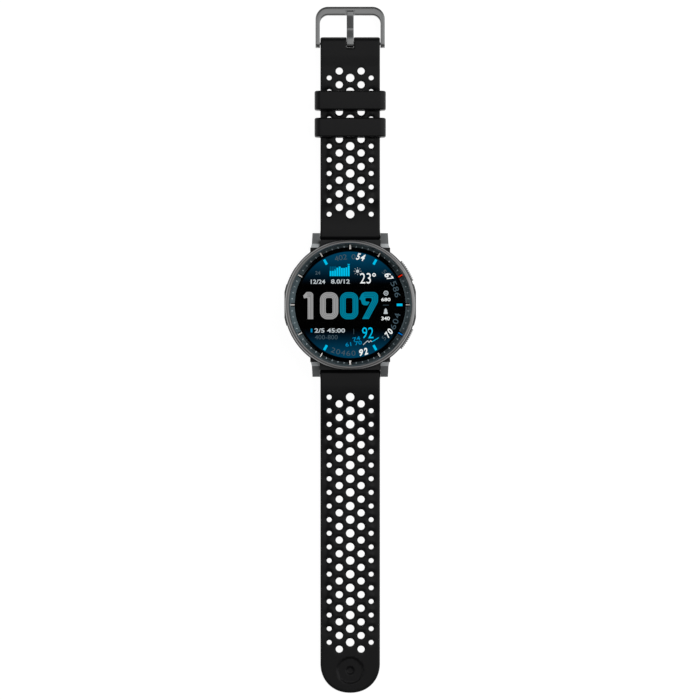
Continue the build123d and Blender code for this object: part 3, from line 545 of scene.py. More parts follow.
def place_mesh(mesh, name, material, body, replaces, crease):
    """Links a mesh as a piece that rides on a body, with its finish and smooth shading."""
    mesh.materials.clear()
    mesh.materials.append(material)
    mesh.polygons.foreach_set("use_smooth", [True] * len(mesh.polygons))
    mesh.set_sharp_from_angle(angle=math.radians(crease))
    piece = linked(name, mesh)
    if replaces:
        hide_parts(*replaces)
    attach(piece, body)
    return piece


def carve(piece, cutter):
    """Cuts a shape out of a piece."""
    mesh = cutter.mesh("cutter")
    tool = linked("cutter", mesh)
    cut = piece.modifiers.new("cut", "BOOLEAN")
    cut.operation = "DIFFERENCE"
    cut.solver = "EXACT"
    cut.object = tool
    shown = piece.evaluated_get(bpy.context.evaluated_depsgraph_get())
    carved = bpy.data.meshes.new_from_object(shown)
    piece.modifiers.clear()
    piece.data = carved
    bpy.data.objects.remove(tool)
    bpy.data.meshes.remove(mesh)


def body_of_node(node):
    bodies = frame["record"]["behaviour"]["bodies"]
    return next(body for body, nodes in bodies.items() if node in nodes)


def round_edges(mesh, width, segments, crease):
    """Bevels every edge of a bmesh that is sharper than the crease angle."""
    sharp = [e for e in mesh.edges if len(e.link_faces) == 2 and e.calc_face_angle() > math.radians(crease)]
    bmesh.ops.bevel(
        mesh,
        geom=sharp,
        offset=width * MM,
        offset_type="OFFSET",
        segments=segments,
        profile=0.5,
        affect="EDGES",
        clamp_overlap=True,
        miter_outer="ARC",
    )
    bmesh.ops.dissolve_degenerate(mesh, edges=mesh.edges, dist=0.0005 * MM)
    bmesh.ops.recalc_face_normals(mesh, faces=mesh.faces)


def softened(node, name, width, material, segments=2):
    """A copy of a CAD node whose sharp edges are rounded, in place of the node."""
    soft = bmesh.new()
    soft.from_mesh(frame["nodes"][node].data)
    bmesh.ops.remove_doubles(soft, verts=soft.verts, dist=0.001 * MM)
    bmesh.ops.dissolve_limit(soft, angle_limit=math.radians(0.5), verts=soft.verts, edges=soft.edges)
    round_edges(soft, width, segments, 30.0)
    mesh = bpy.data.meshes.new(name)
    soft.to_mesh(mesh)
    soft.free()
    return place_mesh(mesh, name, material, body_of_node(node), (node,), 40.0)


def paint(material, *nodes):
    """Gives CAD nodes whose shape stays a finish."""
    for node in nodes:
        mesh = frame["nodes"][node].data
        for index in range(len(mesh.materials)):
            mesh.materials[index] = material


# ---- straps

HOLE_PITCH = 5.04
HOLE_COLUMNS = ((0.0, 1.525, 0.0), (4.03, 1.325, 0.5), (7.75, 0.925, 0.0))  # place, radius, stagger
CORNER_RADIUS = 0.7
PLAIN_EDGE = 1.2  # from the strap's side to the line on which its heights are read
PLAIN_SHARE = 0.88  # of the half width, the same line round the tip
BEND_START, BEND_END = 30.0, 62.0
KNUCKLE_EXTRA, KNUCKLE_LENGTH = 0.1, 3.3  # of the wider end between the lugs
WALL_SHARE = 0.42  # of the thickness, the most that an edge's rounding takes
TIP_PLACE = 135.1
TIP_PITS = ((4.85, 0.4), (1.45, 0.45))  # radius and depth of the recess and of the dimple in it
TIP_POWER = 0.94  # below 1 the end of the long strap is fuller than a half circle
SLOT_WIDTH = 2.68
SLOT_START = 94.85
SLOT_LIP = 0.5
HOLLOW_REACH = 1.35
HOLLOW_SHARE = 0.8  # of the hollow depth, round each hole
FALL_START, FALL_WIDTH, FALL_SHARE = 7.3, 1.9, 1.15  # past the outer columns
LAND_STEP = 0.72  # between the points of the strap's lands
FAR = 9.0  # stands for a distance that is out of reach of any rounding


class StrapPlan:
    """One strap in plan: x across, y away from the watch, whichever way the strap points."""

    def __init__(self, node, first_row, rows):
        self.node = node
        self.sign = 1 if node_box(node)[1].y > 0 else -1
        low, high = node_box(node)
        self.start, self.end = sorted((abs(low.y), abs(high.y)))
        self.half = high.x
        self.first_row = first_row
        self.rows = rows
        self.holes = []
        for column, radius, stagger in HOLE_COLUMNS:
            for side in (1,) if column == 0 else (-1, 1):
                for row in range(rows):
                    place = first_row + HOLE_PITCH * (row + stagger)
                    self.holes.append((side * column, place, radius))
        self.stations, self.tops, self.bottoms = self.profile()

    def profile(self):
        """Heights of the CAD strap along its plain edge, smoothed a little."""
        mesh = frame["nodes"][self.node].data
        tree = BVHTree.FromPolygons([v.co for v in mesh.vertices], [p.vertices for p in mesh.polygons])
        stations = np.arange(self.start + 0.01, self.end - 0.005, 0.05)
        tops, bottoms = [], []
        for station in stations:
            across = self.half - PLAIN_EDGE
            if self.sign < 0 and station > self.end - self.half:
                across = PLAIN_SHARE * math.sqrt(self.half**2 - (station - self.end + self.half) ** 2)
            place = Vector((across, self.sign * station, 0)) * MM
            for heights, side in ((tops, 1), (bottoms, -1)):
                away = Vector((0, 0, side))
                heights.append(tree.ray_cast(place + away * 0.05, -away)[0].z / MM)
        return stations, self.smooth(stations, tops), self.smooth(stations, bottoms)

    def smooth(self, stations, heights):
        """Lightly at the knuckle and the far end, and more along the bend, to lose its facets."""
        step = stations[1] - stations[0]
        blurred = []
        for reach in (0.12, 1.2):
            offsets = np.arange(-int(3 * reach / step), int(3 * reach / step) + 1)
            weights = np.exp(-0.5 * (offsets * step / reach) ** 2)
            padded = np.pad(heights, len(offsets) // 2, mode="edge")
            blurred.append(np.convolve(padded, weights / weights.sum(), mode="valid"))
        bend = np.clip((stations - BEND_START) / 2, 0, 1) * np.clip((BEND_END - stations) / 2, 0, 1)
        return blurred[0] * (1 - bend) + blurred[1] * bend

    def outline(self):
        """Counter-clockwise plan of the strap, a little wider between the lugs."""
        half, start, end = self.half, self.start, self.end
        wide, neck = half + KNUCKLE_EXTRA, start + KNUCKLE_LENGTH
        corners = mirrored([(-half, neck + 1), (-wide, neck), (-wide, start)])
        radii = [0, 0, 0.2, 0.2, 0, 0]
        if self.sign < 0:
            for turn in np.linspace(0.001, math.pi - 0.001, 65):
                across = math.copysign(abs(math.cos(turn)) ** TIP_POWER, math.cos(turn))
                corners.append((half * across, end - half + half * math.sin(turn) ** TIP_POWER))
                radii.append(0)
        else:
            slot = SLOT_WIDTH / 2
            corners += mirrored([(half, end), (slot, end), (slot, SLOT_START)])
            radii += [CORNER_RADIUS, 0.35, 0.2, 0.2, 0.35, CORNER_RADIUS]
        return evenly(rounded(corners, radii), 1.0)

    def relief(self, x, y, depth):
        """Hollows round the holes and a fall past the outer columns, which fade out at the ends."""
        last = self.first_row + HOLE_PITCH * (self.rows - 1)
        fade = np.clip((y - self.first_row) / HOLE_PITCH - 0.1, 0, 1)
        fade = fade * np.clip((last - y) / HOLE_PITCH - 0.1, 0, 1)
        nearest = np.full_like(x, FAR)
        for column, place, radius in self.holes:
            nearest = np.minimum(nearest, np.hypot(x - column, y - place) - radius)
        bowl = HOLLOW_SHARE * eased(1 - nearest / HOLLOW_REACH)
        fall = FALL_SHARE * fade * eased((np.abs(x) - FALL_START) / FALL_WIDTH)
        return depth * (bowl + fall) * np.where(nearest < FAR - 0.1, 0.15 + 0.85 * fade, fade)

    def tip_pocket(self, x, y):
        """Round recess and dimple near the tip of the long strap."""
        reach = np.hypot(x, y - TIP_PLACE)
        pits = [depth * eased((radius + 0.12 - reach) / 0.4) for radius, depth in TIP_PITS]
        return sum(pits) * (self.sign < 0)


def eased(share):
    """Smooth step from 0 to 1."""
    share = np.clip(share, 0, 1)
    return share * share * (3 - 2 * share)


def rolled(distance, radius):
    """Drop of a rounded edge at a distance inside it."""
    inside = np.clip(radius - np.asarray(distance, float), 0, radius)
    return radius - np.sqrt(radius * radius - inside * inside)

def build_strap(plan, settings):
    """A strap as one closed mesh, with rolled edges, rounded hole rims and dished lands."""
    edge = settings.edge_radius / MM
    rim = settings.rim_radius / MM
    points, loops, edge_gap, rim_gap, owner = [], [], [], [], []

    def ring(path, from_edge, from_rim, bound, hole=-1):
        first = len(points)
        points.extend(path)
        edge_gap.extend([from_edge] * len(path))
        rim_gap.extend([from_rim] * len(path))
        owner.extend([hole] * len(path))
        if bound:
            loops.extend((first + i, first + (i + 1) % len(path)) for i in range(len(path)))

    outline = plan.outline()
    for share in (0.0, 0.08, 0.3, 0.62, 1.0):
        ring(offset_path(outline, share * edge), share * edge, FAR, share == 0.0)
    for hole, (x, y, radius) in enumerate(plan.holes):
        steps = max(20, int(settings.hole_steps * radius / HOLE_COLUMNS[0][1]))
        for share in (0.0, 0.1, 0.35, 1.0):
            bound = share == 0.0
            path = circle((x, y), radius + share * rim, steps)
            ring(path, FAR, share * rim, bound, hole if bound else -1)
    if plan.sign < 0:
        for radius, depth in TIP_PITS:
            for shift in (0.12, -0.01, -0.15, -0.28):
                ring(circle((0, TIP_PLACE), radius + shift, 48), FAR, FAR, False)
    # A hexagonal field of points over the lands
    inner = np.array(offset_path(outline, edge + 0.45))
    holes = np.array(plan.holes)
    row_step = LAND_STEP * math.sqrt(3) / 2
    limit = plan.half - edge - 0.4
    for row in range(int((plan.end - plan.start) / row_step)):
        y = plan.start + edge + 0.4 + row * row_step
        for x in np.arange(-limit + (row % 2) * LAND_STEP / 2, limit, LAND_STEP):
            clear = np.hypot(holes[:, 0] - x, holes[:, 1] - y) >= holes[:, 2] + rim + 0.3
            if clear.all() and inside_loop(inner, x, y):
                ring([(x, y)], FAR, FAR, False)
    flat, edges, triangles, origins = delaunay_2d_cdt([Vector(p) for p in points], loops, [], 1, 1e-4)[:4]
    x, y = np.array(flat).T
    source = [origin[0] for origin in origins]
    from_edge, from_rim = np.array(edge_gap)[source], np.array(rim_gap)[source]
    top = np.interp(y, plan.stations, plan.tops)
    bottom = np.interp(y, plan.stations, plan.bottoms)
    room = WALL_SHARE * np.clip(top - bottom, 0, None)
    upper = top - np.minimum(rolled(from_edge, edge), room) - rolled(from_rim, rim)
    upper -= plan.relief(x, y, settings.hollow_depth / MM) + plan.tip_pocket(x, y)
    lower = bottom + np.minimum(rolled(from_edge, edge * 0.7), room) + rolled(from_rim, rim * 0.6)
    lower = np.minimum(lower, upper)
    # The foot of the slot's end reaches under the tongue's eye
    at_slot = (np.abs(x) < SLOT_WIDTH / 2 + 0.01) & (y > SLOT_START - edge) & (y < SLOT_START + 0.25)
    lip = SLOT_LIP * np.clip(1 - from_edge / edge, 0, 1) * at_slot * (plan.sign > 0)
    # Triangles inside a hole or in the tongue slot go
    kept = []
    outer = np.array(outline)
    for triangle in triangles:
        middle = x[list(triangle)].mean(), y[list(triangle)].mean()
        around = {owner[source[index]] for index in triangle}
        if len(around) == 1 and around != {-1}:
            continue
        if abs(middle[0]) < SLOT_WIDTH and not inside_loop(outer, *middle):
            continue
        kept.append(tuple(triangle))
    count = len(flat)
    shape = Shape()
    shape.points = list(zip(x, plan.sign * y, upper)) + list(zip(x, plan.sign * (y + lip), lower))
    shape.faces = kept + [tuple(count + index for index in reversed(face)) for face in kept]
    used = dict.fromkeys(pair for a, b, c in kept for pair in ((a, b), (b, c), (c, a)))
    shape.faces += [(b, a, count + a, count + b) for a, b in used if (b, a) not in used]
    return shape


def inside_loop(loop, x, y):
    """Whether a point lies inside a closed outline."""
    ahead = np.roll(loop, -1, 0)
    spans = (loop[:, 1] > y) != (ahead[:, 1] > y)
    rise = ahead[spans, 1] - loop[spans, 1]
    crossing = loop[spans, 0] + (y - loop[spans, 1]) / rise * (ahead[spans, 0] - loop[spans, 0])
    return int((crossing > x).sum()) % 2 == 1


# ---- keepers, bezel and chapter ring


KEEPER_FLOOR, KEEPER_ROOF, KEEPER_SIDE = 1.2, 1.4, 1.95  # thickness of its walls
KEEPER_EDGE, KEEPER_LIP = 0.65, 0.3  # rounding of its ends, outside and inside


def build_keeper(node):
    """A keeper loop with a rounded section and rolled edges."""
    low, high = node_box(node)
    half, height, reach = high.x, high.z - low.z, (high.y - low.y) / 2
    opening = half - KEEPER_SIDE
    outer = rounded(rectangle(-half, 0, half, height), 2.4, 10)
    inner = rounded(rectangle(-opening, KEEPER_FLOOR, opening, height - KEEPER_ROOF), 0.6, 10)
    rings = [(outer, inset, reach - back) for inset, back in quarter_turn(KEEPER_EDGE, 8)]
    rings += [(inner, -inset, reach - back) for back, inset in quarter_turn(KEEPER_LIP, 4)]
    rings += [(path, inset, -place) for path, inset, place in reversed(rings)]
    shape = Shape()
    middle = (low.y + high.y) / 2
    loops = [[(x, middle + place, z) for x, z in offset_path(path, inset)] for path, inset, place in rings]
    shape.loft(loops, closed=True)
    return shape


def bezel_section():
    """Section of the bezel ring: ledge, seat of the glass, inner slope and rolled outer edge."""
    opening = CHAPTER_OUTER + 0.05
    ledge = opening - 1.3
    section = [(ledge, CASE_TOP), (BEZEL_RADIUS, CASE_TOP), (BEZEL_RADIUS, BEZEL_TOP - 1.0)]
    reach = BEZEL_RADIUS - opening - 0.45
    section += [(BEZEL_RADIUS - reach * inset, BEZEL_TOP - back) for inset, back in quarter_turn(1.0, 12)[1:]]
    section += [(opening + 0.28, BEZEL_TOP), (opening + 0.2, BEZEL_TOP - 0.03), (opening, GLASS_TOP)]
    section += [(opening, DISPLAY_TOP), (ledge, DISPLAY_TOP)]
    return section


def chapter_height(radius):
    """Height of the dished chapter ring at a radius."""
    share = min(max((radius - CHAPTER_INNER) / (CHAPTER_RIM - CHAPTER_INNER), 0), 1)
    low, high = DISPLAY_TOP + 0.3, GLASS_BOTTOM
    return low + (high - low) * share - 0.13 * math.sin(math.pi * share)


# ---- dial marks


class Print:
    """Marks of one colour on the display or the chapter ring, at one height."""

    def __init__(self, level, thickness=0.03):
        self.shape = Shape()
        self.low = level
        self.high = level + thickness

    def bar(self, center, size, angle=0.0, radius=0.0):
        """A rectangle about a centre, turned counter-clockwise by an angle in degrees."""
        across, up = size[0] / 2, size[1] / 2
        corners = rectangle(-across, -up, across, up)
        outline = rounded(corners, radius, 3) if radius else corners
        self.shape.prism([turned_point(p, angle, center) for p in outline], self.low, self.high)

    def area(self, outline):
        self.shape.prism(outline, self.low, self.high)

    def disc(self, center, radius):
        self.area(circle(center, radius, 20))

    def hoop(self, center, radius, width):
        self.shape.ribbon(circle(center, radius, 24), width, self.low, self.high, closed=True)

    def line(self, path, width, closed=False):
        self.shape.ribbon(path, width, self.low, self.high, closed)

    def digits(self, text, center, size, angle=0.0, slant=0.0, weight=0.0):
        """Numerals fitted to a box about a centre."""
        curve = bpy.data.curves.new("digits", "FONT")
        curve.body = text
        curve.offset = weight
        curve.shear = slant
        curve.extrude = 0.1
        curve.resolution_u = 3
        holder = bpy.data.objects.new("digits", curve)
        mesh = bpy.data.meshes.new_from_object(holder)
        places = np.array([v.co for v in mesh.vertices])
        faces = [tuple(p.vertices) for p in mesh.polygons]
        low, high = places.min(0), places.max(0)
        share = (places - (low + high) / 2) / (high - low)
        points = []
        for across, up, deep in share:
            x, y = turned_point((across * size[0], up * size[1]), angle, center)
            points.append((x, y, self.low if deep < 0 else self.high))
        self.shape.add(points, faces)
        bpy.data.objects.remove(holder)
        bpy.data.curves.remove(curve)
        bpy.data.meshes.remove(mesh)

    def arc_digits(self, text, radius, start, step, size, below=False, **style):
        """Numerals along a circle, at clock angles in degrees from 12 o'clock."""
        for index, digit in enumerate(text):
            clock = start + step * index
            if digit == " ":
                continue
            angle = 180 - clock if below else -clock
            width = size[0] * (0.55 if digit == "1" else 1.0)
            self.digits(digit, clock_point(radius, clock), (width, size[1]), angle, **style)

    def build(self, name, material, slot="display"):
        return self.shape.build(name, material, "case", slot)


def turned_point(point, angle, center):
    """A point turned about the origin by degrees and moved to a centre."""
    c, s = math.cos(math.radians(angle)), math.sin(math.radians(angle))
    return (center[0] + point[0] * c - point[1] * s, center[1] + point[0] * s + point[1] * c)


def clock_point(radius, clock):
    """Point at a radius and a clockwise angle from 12 o'clock."""
    return (radius * math.sin(math.radians(clock)), radius * math.cos(math.radians(clock)))


TIME_LEVEL = -0.33
ZERO_SIZE = (4.6, 7.85)  # middle line of the digit's stroke
ZERO_CORNER = 1.65
ONE_CORNERS = (
    ((-15.62, -5.25), 0), ((-13.6, -5.25), 0), ((-13.6, 4.72), 1.9), ((-16.1, 4.72), 1.0),
    ((-17.3, 3.3), 0.1), ((-16.9, 2.35), 0.1), ((-15.62, 2.7), 0.4),
)
NINE_CORNERS = (
    ((4.4, -5.2), 0), ((6.82, -5.2), 0), ((10.2, 1.1), 2.2), ((10.3, 4.72), 2.5),
    ((4.5, 4.72), 2.0), ((3.3, 2.1), 0.1), ((3.95, 1.75), 0.15), ((4.4, -0.1), 1.3),
    ((6.3, -0.2), 0.5), ((7.15, 0.95), 0.15), ((6.75, 1.2), 0.1), ((5.55, 1.15), 0.6),
    ((5.55, 2.55), 0.5), ((7.95, 2.55), 0.5), ((7.95, 1.55), 0.6), ((7.45, 0.6), 0),
)
NINE_SPINE = (((5.0, 4.72), 0), ((10.3, 4.72), 2.5), ((10.2, 1.1), 2.2), ((6.9, -5.0), 0))
ONE_SPINE = (((-15.9, 4.72), 0), ((-13.6, 4.72), 1.9), ((-13.6, -5.05), 0))


def zero_path(center):
    across, up = ZERO_SIZE[0] / 2, ZERO_SIZE[1] / 2
    corners = rectangle(-across, -up, across, up)
    return [(center + x, TIME_LEVEL + y) for x, y in rounded(corners, ZERO_CORNER, 7)]


def cornered(corners, closed=True):
    """Path through corners that are given as (point, radius)."""
    return rounded([point for point, radius in corners], [radius for point, radius in corners], 6, closed)


STRIPE_WIDTH = 0.2
STRIPE_SHADE = 0.42
BAR_START, BAR_PITCH = -7.2, 0.83
BAR_HEIGHTS = (1.95, 1.95, 2.5, 3.1, 3.5, 3.0, 3.0, 3.2, 3.9)
SUN_PLACE = (2.7, 12.35)
TREND = ((4.75, -14.7), (5.9, -13.6), (6.5, -13.2), (6.9, -13.8), (7.55, -13.15), (7.9, -13.6))
TREND_END = ((7.9, -13.6), (9.0, -13.0), (10.5, -12.05))
ACCENT_HOURS = (1, 3, 5, 7, 11)


def dial_marks(settings):
    """Every mark on the lit display, as (name, colour, print)."""
    low = DISPLAY_TOP + 0.02
    stroke = settings.stroke / MM
    bases = {"hours": Print(low), "minutes": Print(low)}
    stripes = {"hours": Print(low + 0.04), "minutes": Print(low + 0.04)}
    for center, group in ((-7.74, "hours"), (-0.39, "minutes")):
        bases[group].line(zero_path(center), stroke, True)
        for share in (-0.28, 0.0, 0.28):
            stripes[group].line(offset_path(zero_path(center), share * stroke), STRIPE_WIDTH, True)
    for corners, spine, group in ((ONE_CORNERS, ONE_SPINE, "hours"), (NINE_CORNERS, NINE_SPINE, "minutes")):
        bases[group].area(cornered(corners))
        for share in (0.22, 0.5, 0.78):
            stripes[group].line(offset_path(cornered(spine, False), -share * stroke, False), STRIPE_WIDTH)
    white, pale, dim, accent, soft, faint = (Print(low) for tone in range(6))
    # Top and bottom scales, and the two at the right
    white.arc_digits("54", 18.0, 9.6, 5.4, (1.55, 2.5), slant=0.25, weight=0.03)
    dim.arc_digits("402 0", 17.7, -16.5, 5.1, (1.45, 1.9))
    white.arc_digits("67", 17.6, 51.3, 5.2, (1.5, 2.3), slant=0.2, weight=0.03)
    dim.arc_digits("5", 17.4, 46.0, 5.0, (1.2, 1.7))
    dim.arc_digits("586", 17.75, 64.0, 7.0, (1.75, 2.1))
    dim.arc_digits("604", 17.75, 117.0, -7.0, (1.75, 2.1), below=True)
    white.arc_digits("70", 17.6, 128.7, -5.2, (1.5, 2.3), below=True, slant=0.2, weight=0.03)
    dim.arc_digits("5", 17.4, 134.5, 5.0, (1.2, 1.7), below=True)
    dim.arc_digits("20460", 17.8, 200.5, -6.1, (1.5, 1.9), below=True)
    white.arc_digits("92", 18.0, 167.0, -5.4, (1.55, 2.5), below=True, slant=0.25, weight=0.03)
    # Upper row: date, bars, a running total and the temperature
    dim.digits("24", (-11.9, 11.75), (1.9, 1.3), weight=0.02)
    pale.digits("12/24", (-11.83, 8.5), (5.3, 1.6), weight=0.02)
    pale.digits("8.0/12", (-3.6, 8.58), (6.9, 1.6), weight=0.02)
    for index, height in enumerate(BAR_HEIGHTS):
        accent.bar((BAR_START + index * BAR_PITCH, 10.54 + height / 2), (0.66, height))
    accent.area([(-1.15, 15.0), (-0.56, 14.55), (0.03, 15.0)])
    for index in range(3):
        faint.bar((BAR_START + index * BAR_PITCH, 13.35), (0.66, 1.5))
    pale.disc(SUN_PLACE, 0.6)
    for turn in range(0, 360, 45):
        ray = clock_point(1.2, turn)
        pale.bar((SUN_PLACE[0] + ray[0], SUN_PLACE[1] + ray[1]), (0.14, 0.42), -turn)
    white.digits("23", (5.62, 9.75), (4.0, 3.9))
    white.hoop((8.75, 11.0), 0.5, 0.36)
    # Right column
    pale.hoop((13.15, 4.3), 0.75, 0.3)
    pale.disc((13.15, 4.3), 0.28)
    white.digits("680", (13.1, 1.95), (3.4, 1.25), weight=0.02)
    dim.bar((13.1, -0.1), (2.2, 0.14))
    bell = [(12.1, -3.35), (14.0, -3.35), (13.6, -2.6), (13.55, -1.7), (12.55, -1.7), (12.5, -2.6)]
    pale.area(rounded(bell, 0.25, 3))
    pale.disc((13.05, -1.6), 0.28)
    white.digits("340", (13.0, -5.0), (3.1, 1.35), weight=0.02)
    # Lower row
    soft.bar((-14.2, -9.43), (0.62, 1.35))
    pale.digits("2/5 45:00", (-7.5, -9.43), (11.2, 1.6), weight=0.02)
    dim.digits("400-800", (-8.8, -11.9), (8.4, 1.6))
    dim.bar((1.3, -9.8), (0.14, 2.0))
    accent.digits("92", (6.45, -10.3), (4.2, 4.1))
    soft.digits("74", (2.3, -12.5), (2.8, 1.45), 14, weight=0.02)
    soft.digits("61 70", (1.25, -14.25), (6.1, 1.5), 9, weight=0.02)
    pale.line(TREND, 0.24)
    accent.line(TREND_END, 0.26)
    for hour in ACCENT_HOURS:
        accent.bar(clock_point(18.15, hour * 30), (0.9, 2.1), -hour * 30, 0.12)
    return [
        ("time_hours", settings.hours, bases["hours"]),
        ("time_hours_stripes", scaled(settings.hours, STRIPE_SHADE), stripes["hours"]),
        ("time_minutes", settings.minutes, bases["minutes"]),
        ("time_minutes_stripes", scaled(settings.minutes, STRIPE_SHADE), stripes["minutes"]),
        ("marks_white", linear(240, 244, 244), white),
        ("marks_pale", linear(190, 198, 202), pale),
        ("marks_dim", linear(66, 84, 94), dim),
        ("marks_accent", settings.accent, accent),
        ("marks_blue", linear(0, 128, 176), soft),
        ("marks_faint", linear(0, 84, 116), faint),
    ]


# ---- finishes of single pieces


def display_finish(glow):
    """Black panel that glows blue towards 12 and 6 o'clock, inside a black border."""
    finish = new_finish("lit_display")
    along, up = finish.axes()[1:]
    ends = along.ease(0.0070, 0.0205).most((0 - along).ease(0.0085, 0.0210))
    inside = 1 - finish.radius().ease(0.01940, 0.01970)
    share = ends * inside * (finish.noise(LIT_GRAIN, 0.0) * 0.06 + 0.97)
    top = up.ease(DISPLAY_TOP * MM - 0.00005, DISPLAY_TOP * MM - 0.00001)
    return finish.shine(finish.mix(share * top, BLACK, glow), (0.0006, 0.0006, 0.0006, 1), 0.5)


def glass_finish():
    """Coated glass: clear from above, with a faint mirror at low angles."""
    finish = new_finish("coated_glass")
    finish.nodes.remove(finish.nodes["Principled BSDF"])
    facing = finish.node("LayerWeight", {"Blend": 0.5}, 1)
    mirror = facing * facing * facing * facing * 0.5
    gloss = finish.node("BsdfGlossy", {"Color": (0.95, 0.97, 1, 1), "Roughness": 0.1})
    return finish.show(finish.blend(mirror * (finish.noise(4.0) * 0.3 + 0.85), finish.clear(), gloss))


def window_finish():
    """Black sensor window with clear apertures over the light sources and receivers."""
    finish = new_finish("sensor_window_mask")
    across, along = finish.axes()[:2]

    def aperture(x, y, size):
        gap = abs(abs(across) - x * MM).most(abs(abs(along) - y * MM))
        return 1 - gap.ease(size * MM, (size + 0.15) * MM)

    clear = aperture(3.2, 0, 1.15).most(aperture(0, 3.2, 1.15)).most(aperture(5.23, 5.23, 1.9))
    cloud = finish.noise(3.0)
    finish.dress({
        "Base Color": finish.mix(cloud, (0.003, 0.003, 0.004, 1), (0.006, 0.006, 0.007, 1)),
        "Roughness": cloud * 0.05 + 0.07,
        "Specular IOR Level": 0.5,
    })
    return finish.show(finish.blend(clear * 0.72, finish.plain(), finish.clear((0.75, 0.8, 0.8, 1))))


def circuit_finish(name, mask, copper):
    """Circuit board: solder mask with paler tracks under it."""
    finish = new_finish(name)
    values = {"Vector": finish.place(), "Scale": 900}
    tracks = finish.node("TexVoronoi", values, distance="CHEBYCHEV", feature="F1")
    line = tracks.ease(0.32, 0.36) * (1 - tracks.ease(0.42, 0.46))
    return finish.dress({"Base Color": finish.mix(line, mask, copper), "Roughness": 0.42 - line * 0.1})


# ---- operators

FLOOR_DROP = -0.25 * MM


class WATCH_OT_stage(bpy.types.Operator):
    """Makes the floor, the lamps, the world and the camera"""

    bl_idname = "watch.stage"
    bl_label = "Stage"

    def execute(self, context):
        settings = context.scene.watch_stage
        half = settings.floor_size / 2
        mesh = bpy.data.meshes.new("floor")
        corners = [(x, y, FLOOR_DROP) for x, y in rectangle(-half, -half, half, half)]
        mesh.from_pydata(corners, [], [(0, 1, 2, 3)])
        mesh.materials.append(self.floor_finish(settings))
        linked("floor", mesh)
        self.lamp("key_lamp", (1.15, 0.35, 1.0), (1.9, 1.5), settings.key_power)
        self.lamp("fill_lamp", (-1.3, 0.0, 0.4), (0.8, 0.4), settings.fill_power)
        self.lamp("back_lamp", (0.3, 1.2, 0.9), (0.9, 0.5), settings.top_power)
        context.scene.world = self.world(settings)
        camera = linked("camera", bpy.data.cameras.new("camera"))
        camera.data.lens = settings.lens
        camera.location = (*settings.aim, settings.camera_height)
        context.scene.camera = camera
        context.scene.view_settings.view_transform = "Standard"
        return {"FINISHED"}

    def floor_finish(self, settings):
        """White from above, except for a share that takes shadows, and clear from below."""
        finish = new_finish("paper_floor")
        paper = finish.mix(finish.noise(2.0), (0.93, 0.93, 0.93, 1), (0.96, 0.96, 0.96, 1))
        finish.dress({"Base Color": paper, "Roughness": 1.0, "Specular IOR Level": 0.0})
        white = finish.node("Emission", {"Color": WHITE, "Strength": 1.06})
        seen = finish.ray("Camera").most(finish.ray("Glossy")).most(finish.ray("Transmission"))
        above = finish.blend(seen * (1 - settings.shadow_share), finish.plain(), white)
        below = finish.node("NewGeometry", output="Backfacing")
        return finish.show(finish.blend(below, above, finish.clear()))

    def lamp(self, name, place, size, power):
        """A soft rectangular lamp that faces the watch and shows neither itself nor its mirror image."""
        data = bpy.data.lights.new(name, "AREA")
        data.shape = "RECTANGLE"
        data.size, data.size_y = size
        data.energy = power
        lamp = linked(name, data)
        lamp.location = place
        lamp.rotation_euler = (-Vector(place)).to_track_quat("-Z", "Y").to_euler()
        lamp.visible_camera = False
        lamp.visible_glossy = False

    def world(self, settings):
        """A studio sky: white behind the watch, bright to the sides and dim along the straps."""
        finish = Finish(bpy.data.worlds.new("studio"))
        x, y, z = finish.axes(finish.node("TexCoord"))
        strip = 1 - abs(y - 0.1).ease(0.1, 0.42)
        zenith = (1 - abs(x).ease(0.25, 0.5)) * strip * settings.zenith_level
        right = x.ease(0.12, 0.5) * (1 - abs(y - 0.12).ease(0.2, 0.5)) * settings.side_level
        left = (0 - x).ease(0.6, 0.9) * strip * 0.45 * settings.side_level
        sky = zenith.most(right).most(left) + z.ease(0.05, 0.4) * settings.end_level
        pale = (1 - z.ease(0.08, 0.2)) * abs(x).ease(0.5, 0.9) * 0.6
        seen = finish.ray("Camera")
        level = sky.most(pale) * (1 - seen) + seen
        finish.feed(finish.nodes["Background"], {"Color": finish.mix(level, BLACK, WHITE)})
        return finish.owner


class WATCH_OT_case(bpy.types.Operator):
    """Finishes the mid case and the speaker outlet"""

    bl_idname = "watch.case"
    bl_label = "Case"

    def execute(self, context):
        paint(moulded("case_shell", linear(22, 23, 24), 0.46), "mid_case")
        plate = moulded("slot_plate", linear(46, 48, 50), 0.4)
        softened("speaker_grille", "speaker_slots", 0.06, plate)
        return {"FINISHED"}


class WATCH_OT_bezel(bpy.types.Operator):
    """Turns the bezel ring and finishes the cover glass"""

    bl_idname = "watch.bezel"
    bl_label = "Bezel and Glass"

    def execute(self, context):
        settings = context.scene.watch_metal
        ring = Shape()
        ring.turned(bezel_section())
        metal = satin_metal("bezel_satin", settings.bezel, settings.roughness)
        ring.build("bezel", metal, "case", "bezel_metal", ("bezel_ring",), 30.0)
        paint(glass_finish(), "cover_glass")
        return {"FINISHED"}


